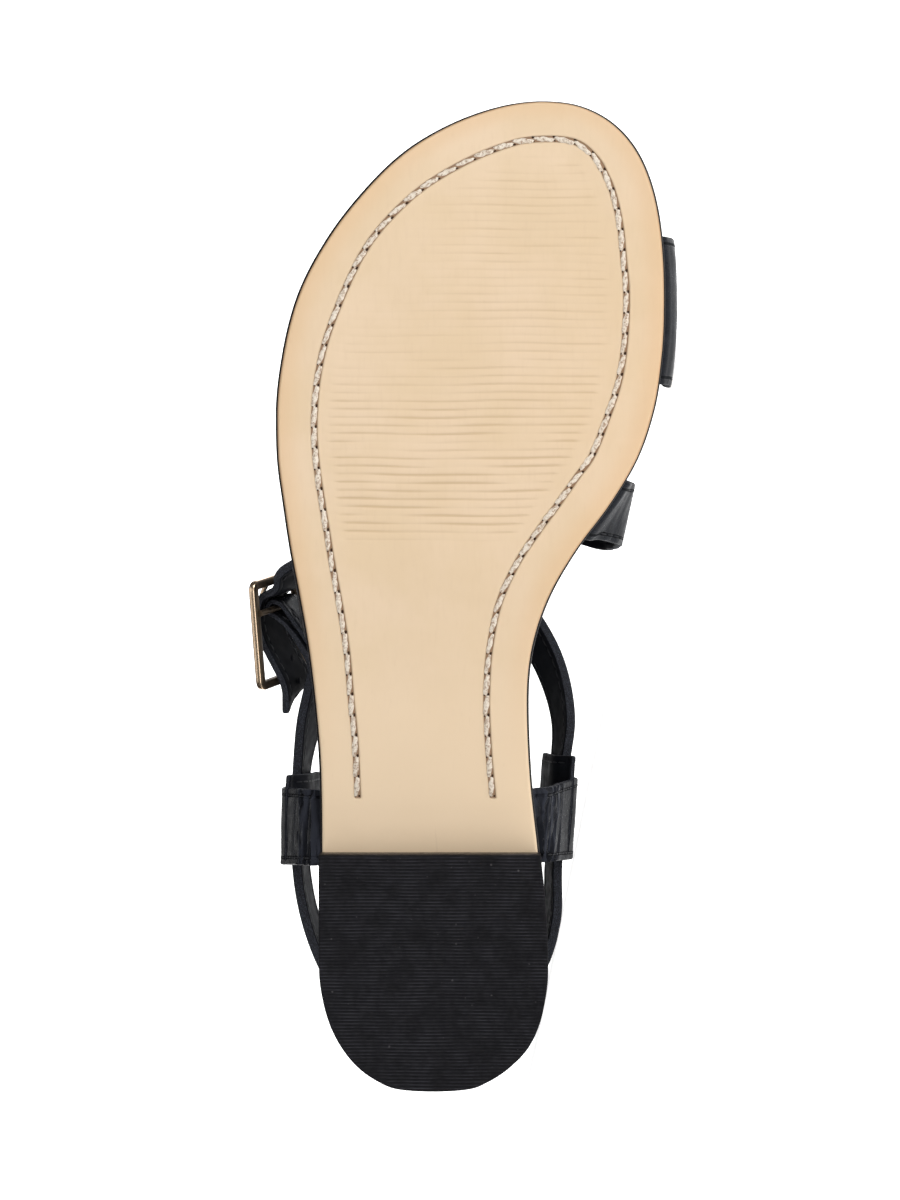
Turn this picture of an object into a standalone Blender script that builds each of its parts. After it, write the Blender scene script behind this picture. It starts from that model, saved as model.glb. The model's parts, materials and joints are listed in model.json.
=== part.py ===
"""Toe ring sandal, right shoe: leather sole, low heel, crossed vamp straps, buckled ankle strap.

The pieces are modelled in millimetres in the shoe's own frame: X from the heel's back to the toe,
Y towards the inner (medial) side, Z up from the floor that the sole would stand on. They hang from
one empty, which scales them to metres and lays the shoe on its inner side, sole facing -Y.
"""

import math

import bmesh
import bpy
import numpy as np
from mathutils import Matrix, Vector

MM = 0.001
GAP = 0.3                    # clearance between neighbouring pieces

SHOE_LENGTH = 249.5          # heel's back to toe tip, along the tread
OUTSOLE_THICKNESS = 3.5
MIDSOLE_THICKNESS = 2.8
INSOLE_THICKNESS = 2.2
OUTSOLE_INSET = 0.8          # tan leather inside the black edge line
INSOLE_INSET = 0.8
SOLE_STATIONS = 56
TIP_STATION = 0.05           # first cross line of a layer, in from its round end
TREAD_FLAT = (140.0, 195.0)  # stations between which the forefoot's tread is level

HEEL_BREAST = 59.5           # station of the heel's straight front
TOP_LIFT_THICKNESS = 5.0
TOP_LIFT_INSET = 0.0
HEEL_BLOCK_INSET = 0.1
HEEL_STATIONS = 18

STRAP_THICKNESS = 1.8        # vamp straps and toe ring
TAB_LENGTH = 8.0             # strap end turned in under the insole
TAB_DROP = 0.9               # half the tab's thickness, below the midsole's top
VAMP_WALL = {"medial": 0.6, "lateral": -1.1}   # strap wall's middle outside the sole edge
VAMP_CLEARANCE = 0.2 + STRAP_THICKNESS / 2     # strap's middle over the foot form
VAMP_COLUMNS = 4
RING_COLUMNS = 7
BAND_STEPS = 3
CUT_REACH = 6.0              # cutters run this far outside the sole edge
CUT_ABOVE = 3.0              # and above the insole
CUT_BELOW = 1.0              # notches start this far below the midsole's top
CUT_SLACK = 0.2
CUT_STATIONS = 7             # stations along each recess and notch

LOOP_STATION = 66.0          # middle of both side loops
LOOP_THICKNESS = 1.5
LOOP_WALL = 0.4              # loop wall's middle outside the sole edge
LOOP_COLUMNS = 3
ANKLE_STRAP_WIDTH = 14.0
ANKLE_STRAP_THICKNESS = 2.6  # two layers, edge stitched
FOLD_THICKNESS = 1.3         # the single layer folded round the buckle's hinge bar
TAIL_THICKNESS = 2.0
STRAP_CHAMFER = 0.45         # share of the half thickness
ANKLE_SPINE = (45.0, 80.0)   # stations that the ankle strap leans towards

FRAME_LENGTH = 29.0          # buckle frame along the strap
FRAME_HEIGHT = 25.0          # buckle frame across the strap
FRAME_BAR_WIDTH = 2.4
FRAME_BAR_DEPTH = 2.2
FRAME_CORNER = 2.6
FRAME_CORNER_STEPS = 4
FRAME_BEVEL = 0.55
HINGE_BAR_RADIUS = 0.8
HINGE_BAR_STATION = 6.0      # forward of the frame's centre
HINGE_BAR_DROP = 1.4         # inward of the frame's plane
HINGE_BAR_SIDES = 10
PRONG_RADIUS = 0.8
PRONG_TAPER = 0.3
PRONG_SIDES = 8
PRONG_HOLE_HALF = 1.3
PRONG_HOLE_REACH = (-1.1, 5.1)  # outward from the frame's plane
INNER_SIDE_SHARE = 0.7       # a hull face counts as the inner side from this share of its direction

# Densities in milligrams per cubic millimetre
DENSITY = {"leather": 0.95, "rubber": 1.2, "board": 0.9, "metal": 7.0}
PIECE_KIND = {"top_lift": "rubber", "midsole": "board", "buckle_frame": "metal", "buckle_prong": "metal"}

# Outline of the black-edged layer: station, lateral edge, medial edge
OUTLINE = (
    (0.0, 0.1, 0.1),
    (0.5, -8.3, 8.5),
    (2.5, -13.8, 14.0),
    (6.5, -19.3, 19.8),
    (10.5, -22.6, 23.6),
    (16.5, -25.8, 26.6),
    (22.6, -27.6, 28.1),
    (30.0, -28.6, 28.9),
    (45.0, -28.7, 28.4),
    (60.0, -28.7, 27.0),
    (80.0, -28.9, 24.9),
    (98.0, -30.2, 24.2),
    (113.0, -32.0, 25.8),
    (124.6, -34.0, 29.8),
    (135.8, -36.1, 36.3),
    (147.0, -37.8, 44.6),
    (158.4, -39.3, 51.4),
    (170.0, -39.6, 55.5),
    (184.7, -38.1, 57.9),
    (200.0, -34.2, 58.5),
    (214.8, -26.5, 57.8),
    (226.0, -18.0, 55.9),
    (237.3, -6.3, 51.3),
    (243.4, 3.9, 46.1),
    (247.1, 13.2, 40.3),
    (248.8, 20.0, 35.2),
    (249.5, 27.7, 27.7),
)

# Side profile: station, height of the outsole's underside above the floor
PROFILE = (
    (0.0, 14.6),
    (30.0, 13.6),
    (60.0, 12.6),
    (75.0, 10.6),
    (95.0, 6.2),
    (115.0, 2.2),
    (130.0, 0.3),
    (TREAD_FLAT[0], 0.0),
    (TREAD_FLAT[1], 0.0),
    (215.0, 0.8),
    (232.0, 2.9),
    (249.5, 6.2),
)

# Foot form over the insole: station, widest lateral, widest medial, height of the widest line,
# crest's place across, crest's height above the insole
REACH_POWER = 0.85           # how square the foot form is across
RISE_POWER = 0.9             # and upwards
TUCK_ANGLE = 30.0            # below the widest line, down to the sole edge
TUCK_POWER = 1.6
FOOT_FORM = (
    (105.0, -30.0, 36.0, 17.0, 3.0, 63.0),
    (120.0, -31.5, 38.5, 16.0, 6.0, 57.0),
    (135.0, -34.0, 45.3, 14.0, 9.0, 50.0),
    (153.0, -37.2, 49.3, 12.0, 12.0, 41.0),
    (170.0, -37.4, 55.0, 10.0, 13.0, 34.0),
    (195.0, -33.0, 58.8, 9.0, 20.0, 27.0),
    (215.0, -24.0, 57.5, 8.0, 25.0, 22.0),
)

# Strap edges on the foot form: rear station, rear angle, front station, front angle, lift.
# The angle runs from -30 at the inner sole edge over 90 at the crest to 210 at the outer sole edge.
LOWER_CROSS_STRAP = (
    (183.0, -18.0, 199.0, -18.0, 0.0),
    (181.0, 0.0, 199.0, 2.0, 0.0),
    (176.0, 24.0, 196.0, 30.0, 0.0),
    (168.0, 48.0, 188.0, 57.0, 0.0),
    (158.0, 74.0, 178.0, 84.0, 0.0),
    (146.0, 100.0, 166.0, 112.0, 0.0),
    (133.0, 128.0, 153.0, 140.0, 0.0),
    (121.0, 156.0, 140.0, 164.0, 0.0),
    (115.0, 180.0, 134.0, 184.0, 0.0),
    (113.5, 202.0, 132.5, 202.0, 0.0),
)
UPPER_CROSS_STRAP = (
    (138.6, -22.0, 153.2, -22.0, 0.0),
    (137.2, 0.0, 153.4, 0.0, 0.0),
    (136.2, 24.0, 154.6, 20.0, 0.0),
    (139.0, 50.0, 158.4, 42.0, 0.5),
    (145.5, 74.0, 165.0, 64.0, 1.3),
    (152.8, 96.0, 172.2, 86.0, 1.5),
    (160.0, 118.0, 179.2, 110.0, 1.3),
    (165.6, 142.0, 183.8, 136.0, 0.5),
    (168.5, 166.0, 186.5, 162.0, 0.0),
    (169.0, 184.0, 187.0, 184.0, 0.0),
    (169.0, 202.0, 187.0, 202.0, 0.0),
)
# Toe ring strap: rear station, front station, place across, height above the insole,
# share of the sole edge's curve that the row follows
TOE_RING = (
    (177.4, 213.6, 60.4, 1.0, 1.0),
    (177.0, 213.6, 60.9, 5.0, 1.0),
    (177.3, 213.4, 60.6, 9.5, 1.0),
    (179.5, 213.0, 58.3, 15.5, 0.8),
    (185.5, 212.5, 53.0, 21.5, 0.4),
    (190.0, 211.5, 45.0, 24.3, 0.0),
    (193.5, 211.0, 36.0, 22.5, 0.0),
    (195.5, 210.0, 29.5, 16.5, 0.0),
    (196.5, 209.5, 26.6, 9.0, 0.0),
    (197.0, 209.0, 26.0, 1.5, 0.0),
)
RING_SLIT_PLACE = 26.0
RING_SLIT = (196.7, 209.3)   # stations of the slit's two ends

# Ankle strap turning from the buckle to the instep: station, place across, height, direction across
FRONT_TURN = (
    (131.8, -34.8, 57.4, -0.02, 0.50, 0.87),
    (134.6, -25.2, 59.8, -0.30, 0.47, 0.83),
)
# Ankle strap's centre line away from the buckle: station, place across, height, lean to the inside
ANKLE_RING = (
    (136.2, -10.5, 62.9, 50.0),
    (134.0, 3.5, 65.4, 50.0),
    (127.5, 15.0, 66.3, 44.0),
    (117.5, 24.2, 66.4, 34.0),
    (105.5, 31.0, 66.3, 27.0),
    (92.0, 34.3, 66.2, 17.0),
    (79.0, 33.5, 66.2, 10.0),
    (LOOP_STATION, 32.6, 66.2, 8.0),
    (52.0, 31.7, 66.2, 8.0),
    (38.5, 31.3, 66.2, 9.0),
    (25.5, 27.0, 66.2, 10.0),
    (13.0, 18.0, 66.2, 11.0),
    (6.0, 4.5, 66.2, 12.0),
    (6.6, -9.0, 66.2, 12.0),
    (15.0, -21.0, 66.2, 11.0),
    (27.5, -28.4, 66.2, 10.0),
    (40.0, -33.0, 66.2, 9.0),
    (53.0, -35.2, 66.2, 8.0),
    (LOOP_STATION, -35.4, 66.2, 8.0),
    (79.0, -34.9, 65.8, 9.0),
    (90.0, -33.2, 63.6, 17.0),
    (99.5, -30.6, 60.9, 23.0),
)
# Strap's free end at the buckle, along its lower edge: forward, outward from the frame's plane,
# thickness, width, twist of the upper edge outward
TAIL_ROUTE = (
    (-21.6, -3.5, 1.8, 3.0, 24.0),
    (-20.2, -3.6, TAIL_THICKNESS, 6.5, 22.0),
    (-18.0, -3.7, TAIL_THICKNESS, 10.0, 15.0),
    (-15.6, -3.7, TAIL_THICKNESS, 13.0, 5.0),
    (-12.5, -3.4, TAIL_THICKNESS, ANKLE_STRAP_WIDTH, 0.0),
    (-8.0, -2.0, TAIL_THICKNESS, ANKLE_STRAP_WIDTH, 0.0),
    (-3.0, 0.5, TAIL_THICKNESS, ANKLE_STRAP_WIDTH, 0.0),
    (1.5, 2.2, TAIL_THICKNESS, ANKLE_STRAP_WIDTH, 0.0),
    (6.0, 2.6, TAIL_THICKNESS, ANKLE_STRAP_WIDTH, 0.0),
    (8.9, 1.5, TAIL_THICKNESS, ANKLE_STRAP_WIDTH, 0.0),
    (10.1, -0.4, TAIL_THICKNESS, ANKLE_STRAP_WIDTH, 0.0),
    (10.8, -2.3, TAIL_THICKNESS, ANKLE_STRAP_WIDTH, 0.0),
    (12.3, -3.6, TAIL_THICKNESS, ANKLE_STRAP_WIDTH, 0.0),
    (14.8, -4.1, 2.2, ANKLE_STRAP_WIDTH, 0.0),
)
# Strap's fold round the hinge bar: forward, outward from the frame's plane, thickness, width
FOLD_ROUTE = (
    (-9.0, -11.6, 2.4, 12.5),
    (-3.5, -8.6, 2.0, 11.5),
    (1.0, -5.2, 1.4, 10.8),
    (4.1, -1.4, FOLD_THICKNESS, 10.5),
    (4.66, -0.06, FOLD_THICKNESS, 10.5),
    (6.0, 0.5, FOLD_THICKNESS, 10.5),
    (7.34, -0.06, FOLD_THICKNESS, 10.5),
    (7.9, -1.4, FOLD_THICKNESS, 10.5),
    (7.4, -2.8, FOLD_THICKNESS, 10.5),
    (6.1, -4.2, FOLD_THICKNESS, 10.5),
    (3.0, -6.6, FOLD_THICKNESS, 10.8),
    (-1.0, -9.5, FOLD_THICKNESS, 11.2),
    (-5.0, -12.3, FOLD_THICKNESS, 11.2),
)
STRAP_PLACE = 1.5            # strap's and prong's middle, up from the frame's middle
BUCKLE_CENTRE = Vector((115.6, -41.2, 60.0))
BUCKLE_ACROSS = Vector((0.16, 0.44, 0.88)).normalized()
BUCKLE_FORWARD_HINT = Vector((1.0, -0.10, -0.20))

# Prong from the hinge bar up through the strap's hole to the front bar: forward, outward
PRONG_ROUTE = (
    (HINGE_BAR_STATION, -0.2),
    (5.95, 2.0),
    (6.15, 3.9),
    (7.5, 4.95),
    (9.6, 4.4),
    (11.6, 3.1),
    (13.6, 2.15),
)

LOOP_HEIGHTS = (22.5, 34.0, 47.0)   # rows of a side loop between the sole and the strap
LOOP_FOOT_RISE = 5.0                # its height gained between the sole and the first row
LOOP_BULGE = 0.9
# Side loop's fold round the ankle strap: distance outside the strap's middle, height
LOOP_FOLD = (
    (2.7, 57.0),
    (2.7, 66.0),
    (2.6, 73.0),
    (1.6, 76.4),
    (-0.2, 77.5),
    (-2.1, 76.4),
    (-3.05, 73.0),
    (-3.1, 66.0),
    (-3.0, 58.2),
    (-1.7, 54.4),
    (0.2, 51.8),
    (0.5, 49.3),
)
LEAF_TURN_ROWS = 5                  # rows over which the fold widens to the inner leaf
LOOP_FLARE = {"medial": 0.07, "lateral": -0.02}   # reach gained per mm forward
# Side loop's rear and front station: at the sole, at the strap, on the inner leaf
LOOP_STATIONS = {
    "medial": ((56.4, 75.4), (55.0, 76.5), (57.0, 82.5)),
    "lateral": ((55.6, 75.0), (53.6, 74.0), (55.0, 77.5)),
}

# Turned-in end of a strap: place in from the wall's middle, rise above the recess
TAB_TURNS = (
    (-TAB_LENGTH, 0.0),
    (-TAB_LENGTH / 2, 0.0),
    (-1.6, 0.0),
    (-0.5, 0.5),
    (0.0, 1.6),
)
# Where straps and loops enter the sole: rear station, front station, side, wall's middle
STRAP_ENDS = {
    "toe_ring": (TOE_RING[0][0], TOE_RING[0][1], "medial", VAMP_WALL["medial"]),
    "upper_medial": (UPPER_CROSS_STRAP[0][0], UPPER_CROSS_STRAP[0][2], "medial", VAMP_WALL["medial"]),
    "upper_lateral": (UPPER_CROSS_STRAP[-1][0], UPPER_CROSS_STRAP[-1][2], "lateral", VAMP_WALL["lateral"]),
    "lower_lateral": (LOWER_CROSS_STRAP[-1][0], LOWER_CROSS_STRAP[-1][2], "lateral", VAMP_WALL["lateral"]),
    "loop_medial": (*LOOP_STATIONS["medial"][0], "medial", LOOP_WALL),
    "loop_lateral": (*LOOP_STATIONS["lateral"][0], "lateral", LOOP_WALL),
}


def limited_slopes(x, y):
    """Slopes for a smooth curve through a table that never overshoots a level stretch."""
    secants = np.diff(y) / np.diff(x)
    slopes = np.gradient(y, x)
    for index in range(1, len(x) - 1):
        before, after = secants[index - 1], secants[index]
        if before * after <= 0.0:
            slopes[index] = 0.0
        else:
            steepest = 3.0 * min(abs(before), abs(after))
            slopes[index] = float(np.clip(slopes[index], -steepest, steepest))
    return slopes


def curve_value(x, y, at):
    """Smooth value of the table y(x) at one place."""
    x = np.asarray(x, float)
    y = np.asarray(y, float)
    slopes = limited_slopes(x, y)
    at = float(np.clip(at, x[0], x[-1]))
    index = int(np.clip(np.searchsorted(x, at) - 1, 0, len(x) - 2))
    step = x[index + 1] - x[index]
    t = (at - x[index]) / step
    start = (1 + 2 * t) * (1 - t) ** 2 * y[index] + t * (1 - t) ** 2 * step * slopes[index]
    end = t * t * (3 - 2 * t) * y[index + 1] + t * t * (t - 1) * step * slopes[index + 1]
    return start + end


def column(table, number):
    return [row[number] for row in table]


def roundness(station):
    """Parameter along the shoe in which both round ends of the outline are smooth."""
    share = min(max(station / SHOE_LENGTH, 0.0), 1.0)
    return math.acos(1.0 - 2.0 * share) / math.pi


OUTLINE_PARAMETERS = [roundness(row[0]) for row in OUTLINE]
OUTLINE_COLUMN = {"lateral": 1, "medial": 2}


def outline(station, side, inset=0.0):
    """Sole edge at a station, moved in by inset all round."""
    stretched = (station - inset) * SHOE_LENGTH / (SHOE_LENGTH - 2.0 * inset)
    edge = curve_value(OUTLINE_PARAMETERS, column(OUTLINE, OUTLINE_COLUMN[side]), roundness(stretched))
    return edge - inset if side == "medial" else edge + inset


def tread(station):
    return curve_value(column(PROFILE, 0), column(PROFILE, 1), station)


def outsole_top(station):
    return tread(station) + OUTSOLE_THICKNESS


def midsole_base(station):
    return outsole_top(station) + GAP


def midsole_top(station):
    return midsole_base(station) + MIDSOLE_THICKNESS


def insole_base(station):
    return midsole_top(station) + GAP


def insole_top(station):
    return insole_base(station) + INSOLE_THICKNESS


def material(name, colour, roughness_value, metallic=0.0):
    made = bpy.data.materials.new(name)
    made.use_nodes = True
    shader = made.node_tree.nodes["Principled BSDF"]
    shader.inputs["Base Color"].default_value = (*colour, 1.0)
    shader.inputs["Roughness"].default_value = roughness_value
    shader.inputs["Metallic"].default_value = metallic
    return made


def add_object(name, vertices, faces, surface, smooth_angle=35.0):
    mesh = bpy.data.meshes.new(name)
    mesh.from_pydata([tuple(vertex) for vertex in vertices], [], faces)
    mesh.validate()
    shape = bmesh.new()
    shape.from_mesh(mesh)
    bmesh.ops.recalc_face_normals(shape, faces=shape.faces)
    shape.to_mesh(mesh)
    shape.free()
    mesh.shade_smooth()
    mesh.set_sharp_from_angle(angle=math.radians(smooth_angle))
    mesh.materials.append(surface)
    made = bpy.data.objects.new(name, mesh)
    bpy.context.scene.collection.objects.link(made)
    return made


def spaced_stations(first, last, count):
    """Stations between two places, closer together near the outline's round ends."""
    low, high = roundness(first), roundness(last)
    shares = [low + (high - low) * index / (count - 1) for index in range(count)]
    return [SHOE_LENGTH * (1.0 - math.cos(math.pi * share)) / 2.0 for share in shares]


def plate(name, stations, lateral, medial, bottom, top, surface):
    """A closed layer between two edge functions and two height functions of the station."""
    vertices = []
    for station in stations:
        sides = (lateral(station), medial(station))
        for height in (bottom(station), top(station)):
            vertices += [Vector((station, side, height)) for side in sides]
    faces = []
    for index in range(len(stations) - 1):
        here, there = 4 * index, 4 * (index + 1)
        faces.append((here, here + 1, there + 1, there))
        faces.append((here + 2, there + 2, there + 3, here + 3))
        faces.append((here, there, there + 2, here + 2))
        faces.append((here + 1, here + 3, there + 3, there + 1))
    last = 4 * (len(stations) - 1)
    faces.append((0, 2, 3, 1))
    faces.append((last, last + 1, last + 3, last + 2))
    return add_object(name, vertices, faces, surface)


def sole_layer(name, inset, bottom, top, surface):
    """A full-length layer of the sole."""
    end = inset + TIP_STATION
    stations = sorted(spaced_stations(end, SHOE_LENGTH - end, SOLE_STATIONS) + list(TREAD_FLAT))
    return plate(
        name,
        stations,
        lambda station: outline(station, "lateral", inset),
        lambda station: outline(station, "medial", inset),
        bottom,
        top,
        surface,
    )


def heel_layer(name, inset, bottom, top, surface):
    """A layer of the heel, D-shaped, with its straight front at the breast."""
    stations = spaced_stations(inset + TIP_STATION, HEEL_BREAST, HEEL_STATIONS)
    return plate(
        name,
        stations,
        lambda station: outline(station, "lateral", inset),
        lambda station: outline(station, "medial", inset),
        bottom,
        top,
        surface,
    )


def curve_through(rows, steps):
    """Smooth resampling of rows of numbers, steps to each stretch (Catmull-Rom)."""
    points = [np.asarray(row, float) for row in rows]
    points = [2 * points[0] - points[1]] + points + [2 * points[-1] - points[-2]]
    result = []
    for index in range(1, len(points) - 2):
        before, start, end, after = points[index - 1:index + 3]
        for step in range(steps):
            t = step / steps
            result.append(
                0.5
                * (
                    2 * start
                    + (end - before) * t
                    + (2 * before - 5 * start + 4 * end - after) * t * t
                    + (3 * start - before - 3 * end + after) * t ** 3
                )
            )
    result.append(points[-2])
    return result


def straight_row(rear, front, columns):
    """Points across a flat strap, from its rear edge to its front edge."""
    return [rear.lerp(front, number / (columns - 1)) for number in range(columns)]


def band(name, rows, steps, thickness, surface):
    """A strap as a closed sheet of even thickness, through rows of points across it."""
    columns = len(rows[0])
    lines = curve_through([[value for point in row for value in point] for row in rows], steps)
    grid = np.array(lines).reshape(len(lines), columns, 3)
    along = np.gradient(grid, axis=0)
    across = np.gradient(grid, axis=1)
    normals = np.cross(along, across)
    normals /= np.linalg.norm(normals, axis=2)[:, :, None]
    faces_of_sheet = [grid + normals * thickness / 2, grid - normals * thickness / 2]
    vertices = [Vector(point) for sheet in faces_of_sheet for point in sheet.reshape(-1, 3)]
    count, width = grid.shape[:2]

    def at(side, row, number):
        return side * count * width + row * width + number

    faces = []
    for row in range(count - 1):
        for number in range(width - 1):
            for side in (0, 1):
                quad = [
                    at(side, row, number),
                    at(side, row, number + 1),
                    at(side, row + 1, number + 1),
                    at(side, row + 1, number),
                ]
                faces.append(quad if side else quad[::-1])
        for number in (0, width - 1):
            ends = (at(0, row, number), at(0, row + 1, number))
            faces.append([*ends, at(1, row + 1, number), at(1, row, number)])
    for row in (0, count - 1):
        for number in range(width - 1):
            ends = (at(0, row, number), at(1, row, number))
            faces.append([*ends, at(1, row, number + 1), at(0, row, number + 1)])
    return add_object(name, vertices, faces, surface)


def foot_value(station, number):
    return curve_value(column(FOOT_FORM, 0), column(FOOT_FORM, number), station)


def foot_point(station, angle, lift):
    """Point on the foot form, lift outside it; see the angles above the strap tables."""
    lateral, medial = foot_value(station, 1), foot_value(station, 2)
    wide_height = foot_value(station, 3)
    crest_place, crest_height = foot_value(station, 4), foot_value(station, 5)
    floor = insole_top(station)
    turned = math.radians(min(max(angle, 0.0), 180.0))
    side = medial if turned < math.pi / 2 else lateral
    reach = abs(math.cos(turned)) ** REACH_POWER
    rise = math.sin(turned) ** RISE_POWER
    place = crest_place + (side - crest_place) * reach
    height = floor + wide_height + (crest_height - wide_height) * rise
    outward = Vector((0.0, math.cos(turned), math.sin(turned)))
    below = max(-angle, angle - 180.0, 0.0) / TUCK_ANGLE
    if below > 0.0:
        edge_side, sign = ("medial", 1.0) if angle < 0.0 else ("lateral", -1.0)
        edge = outline(station, edge_side) + sign * (VAMP_WALL[edge_side] - VAMP_CLEARANCE)
        place = side + (edge - side) * below ** TUCK_POWER
        height = floor + wide_height * (1.0 - below)
    return Vector((station, place, height)) + outward * lift


def tab_rows(rear_station, front_station, side, wall_offset, columns):
    """Rows of a strap's turned-in end: in the midsole's recess, then up past the insole's edge."""
    sign = 1.0 if side == "medial" else -1.0
    rows = []
    for inward, rise in TAB_TURNS:
        row = []
        for number in range(columns):
            station = rear_station + (front_station - rear_station) * number / (columns - 1)
            place = outline(station, side) + sign * (wall_offset + inward)
            row.append(Vector((station, place, midsole_top(station) - TAB_DROP + rise)))
        rows.append(row)
    return rows


def foot_rows(table, columns):
    rows = []
    for rear_station, rear_angle, front_station, front_angle, lift in table:
        rear = foot_point(rear_station, rear_angle, VAMP_CLEARANCE + lift)
        front = foot_point(front_station, front_angle, VAMP_CLEARANCE + lift)
        rows.append(straight_row(rear, front, columns))
    return rows


def join_into(base, others):
    """Boolean union of straps into one piece; the joined ones stay as guides."""
    for other in others:
        union = base.modifiers.new("joined_" + other.name, "BOOLEAN")
        union.operation = "UNION"
        union.solver = "EXACT"
        union.object = other
        other.hide_render = True
        other.display_type = "WIRE"


def cut_with(base, cutter):
    cut = base.modifiers.new("cut_" + cutter.name, "BOOLEAN")
    cut.operation = "DIFFERENCE"
    cut.solver = "EXACT"
    cut.object = cutter
    cutter.hide_render = True
    cutter.display_type = "WIRE"


def edge_slant(station, side):
    """Length along the sole edge per mm of station."""
    step = 1.0
    return math.hypot(1.0, (outline(station + step, side) - outline(station - step, side)) / (2 * step))


def side_cutter(name, rear_station, front_station, side, inner_offset, bottom, top, surface):
    """A block from a line inside the sole edge to well outside it."""
    sign = 1.0 if side == "medial" else -1.0
    stations = np.linspace(rear_station - 2 * GAP, front_station + 2 * GAP, CUT_STATIONS)

    def inner(station):
        return outline(station, side) + sign * inner_offset(station)

    def outer(station):
        return outline(station, side) + sign * CUT_REACH

    lateral, medial = (outer, inner) if side == "lateral" else (inner, outer)
    return plate(name, [float(station) for station in stations], lateral, medial, bottom, top, surface)


def recess_base(station):
    return midsole_top(station) - 2 * TAB_DROP - GAP


def insole_above(station):
    return insole_top(station) + CUT_ABOVE


def tab_cutter(name, rear_station, front_station, side, wall_offset, surface):
    """Recess in the midsole for a strap's turned-in end."""
    return side_cutter(
        name,
        rear_station,
        front_station,
        side,
        lambda station: wall_offset - TAB_LENGTH - 2 * GAP,
        recess_base,
        lambda station: midsole_top(station) + GAP / 2,
        surface,
    )


def notch_cutter(name, rear_station, front_station, side, wall_offset, surface):
    """Notch in the insole's edge where a strap rises past it."""
    half = STRAP_THICKNESS / 2 + CUT_SLACK
    return side_cutter(
        name,
        rear_station,
        front_station,
        side,
        lambda station: wall_offset - GAP - half * edge_slant(station, side),
        lambda station: midsole_top(station) - CUT_BELOW,
        insole_above,
        surface,
    )


def ring_slit_cutter(name, surface):
    """Slit between the first two toes, for the toe ring's inner end."""
    half = STRAP_THICKNESS / 2 + GAP
    return plate(
        name,
        [RING_SLIT[0] - 2 * GAP, RING_SLIT[1] + 2 * GAP],
        lambda station: RING_SLIT_PLACE - half,
        lambda station: RING_SLIT_PLACE + half,
        recess_base,
        insole_above,
        surface,
    )


def toe_ring_rows():
    rows = tab_rows(*STRAP_ENDS["toe_ring"], RING_COLUMNS)
    for rear_station, front_station, place, rise, bow in TOE_RING:
        middle_edge = outline((rear_station + front_station) / 2, "medial")
        row = []
        for number in range(RING_COLUMNS):
            station = rear_station + (front_station - rear_station) * number / (RING_COLUMNS - 1)
            bowed = place + bow * (outline(station, "medial") - middle_edge)
            row.append(Vector((station, bowed, insole_top(station) + rise)))
        rows.append(row)
    foot = [Vector((station, RING_SLIT_PLACE, recess_base(station) + 2 * GAP)) for station in RING_SLIT]
    rows.append(straight_row(*foot, RING_COLUMNS))
    return rows


def strap_end(name):
    return tab_rows(*STRAP_ENDS[name], VAMP_COLUMNS)


def build_upper(surface):
    """Toe ring strap and two crossing vamp straps, joined into one piece."""
    toe_ring = band("upper", toe_ring_rows(), BAND_STEPS, STRAP_THICKNESS, surface)
    lower_rows = foot_rows(LOWER_CROSS_STRAP, VAMP_COLUMNS) + strap_end("lower_lateral")[::-1]
    lower = band("lower_cross_strap", lower_rows, BAND_STEPS, STRAP_THICKNESS, surface)
    upper_rows = strap_end("upper_medial") + foot_rows(UPPER_CROSS_STRAP, VAMP_COLUMNS)
    upper_rows += strap_end("upper_lateral")[::-1]
    upper = band("upper_cross_strap", upper_rows, BAND_STEPS, STRAP_THICKNESS, surface)
    join_into(toe_ring, [lower, upper])
    return toe_ring, [lower, upper]


def buckle_axes():
    """Forward, across and outward directions of the buckle frame."""
    across = BUCKLE_ACROSS
    forward = (BUCKLE_FORWARD_HINT - across * BUCKLE_FORWARD_HINT.dot(across)).normalized()
    outward = forward.cross(across).normalized()
    return forward, across, outward


def buckle_point(forward_by, across_by, outward_by):
    forward, across, outward = buckle_axes()
    return BUCKLE_CENTRE + forward * forward_by + across * across_by + outward * outward_by


def ring_up(station, place, lean):
    """Direction across the ankle strap where it leans towards the ankle's axis."""
    spine = min(max(station, ANKLE_SPINE[0]), ANKLE_SPINE[1])
    inward = Vector((spine - station, -place, 0.0)).normalized()
    turned = math.radians(lean)
    return inward * math.sin(turned) + Vector((0.0, 0.0, math.cos(turned)))


def ankle_strap_rows():
    """Centre, direction across, thickness and width: tail, instep, inner side, heel, outer side, fold."""
    across, outward = buckle_axes()[1:]
    rows = []
    for forward_by, outward_by, thickness, width, twist in TAIL_ROUTE:
        turned = math.radians(twist)
        up = across * math.cos(turned) + outward * math.sin(turned)
        lower_edge = buckle_point(forward_by, STRAP_PLACE - ANKLE_STRAP_WIDTH / 2, outward_by)
        rows.append([*(lower_edge + up * (width / 2)), *up, thickness, width])
    for centre_and_direction in FRONT_TURN:
        rows.append([*centre_and_direction, ANKLE_STRAP_THICKNESS, ANKLE_STRAP_WIDTH])
    for station, place, height, lean in ANKLE_RING:
        up = ring_up(station, place, lean)
        rows.append([station, place, height, *up, ANKLE_STRAP_THICKNESS, ANKLE_STRAP_WIDTH])
    for forward_by, outward_by, thickness, width in FOLD_ROUTE:
        rows.append([*buckle_point(forward_by, STRAP_PLACE, outward_by), *across, thickness, width])
    return rows


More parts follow.
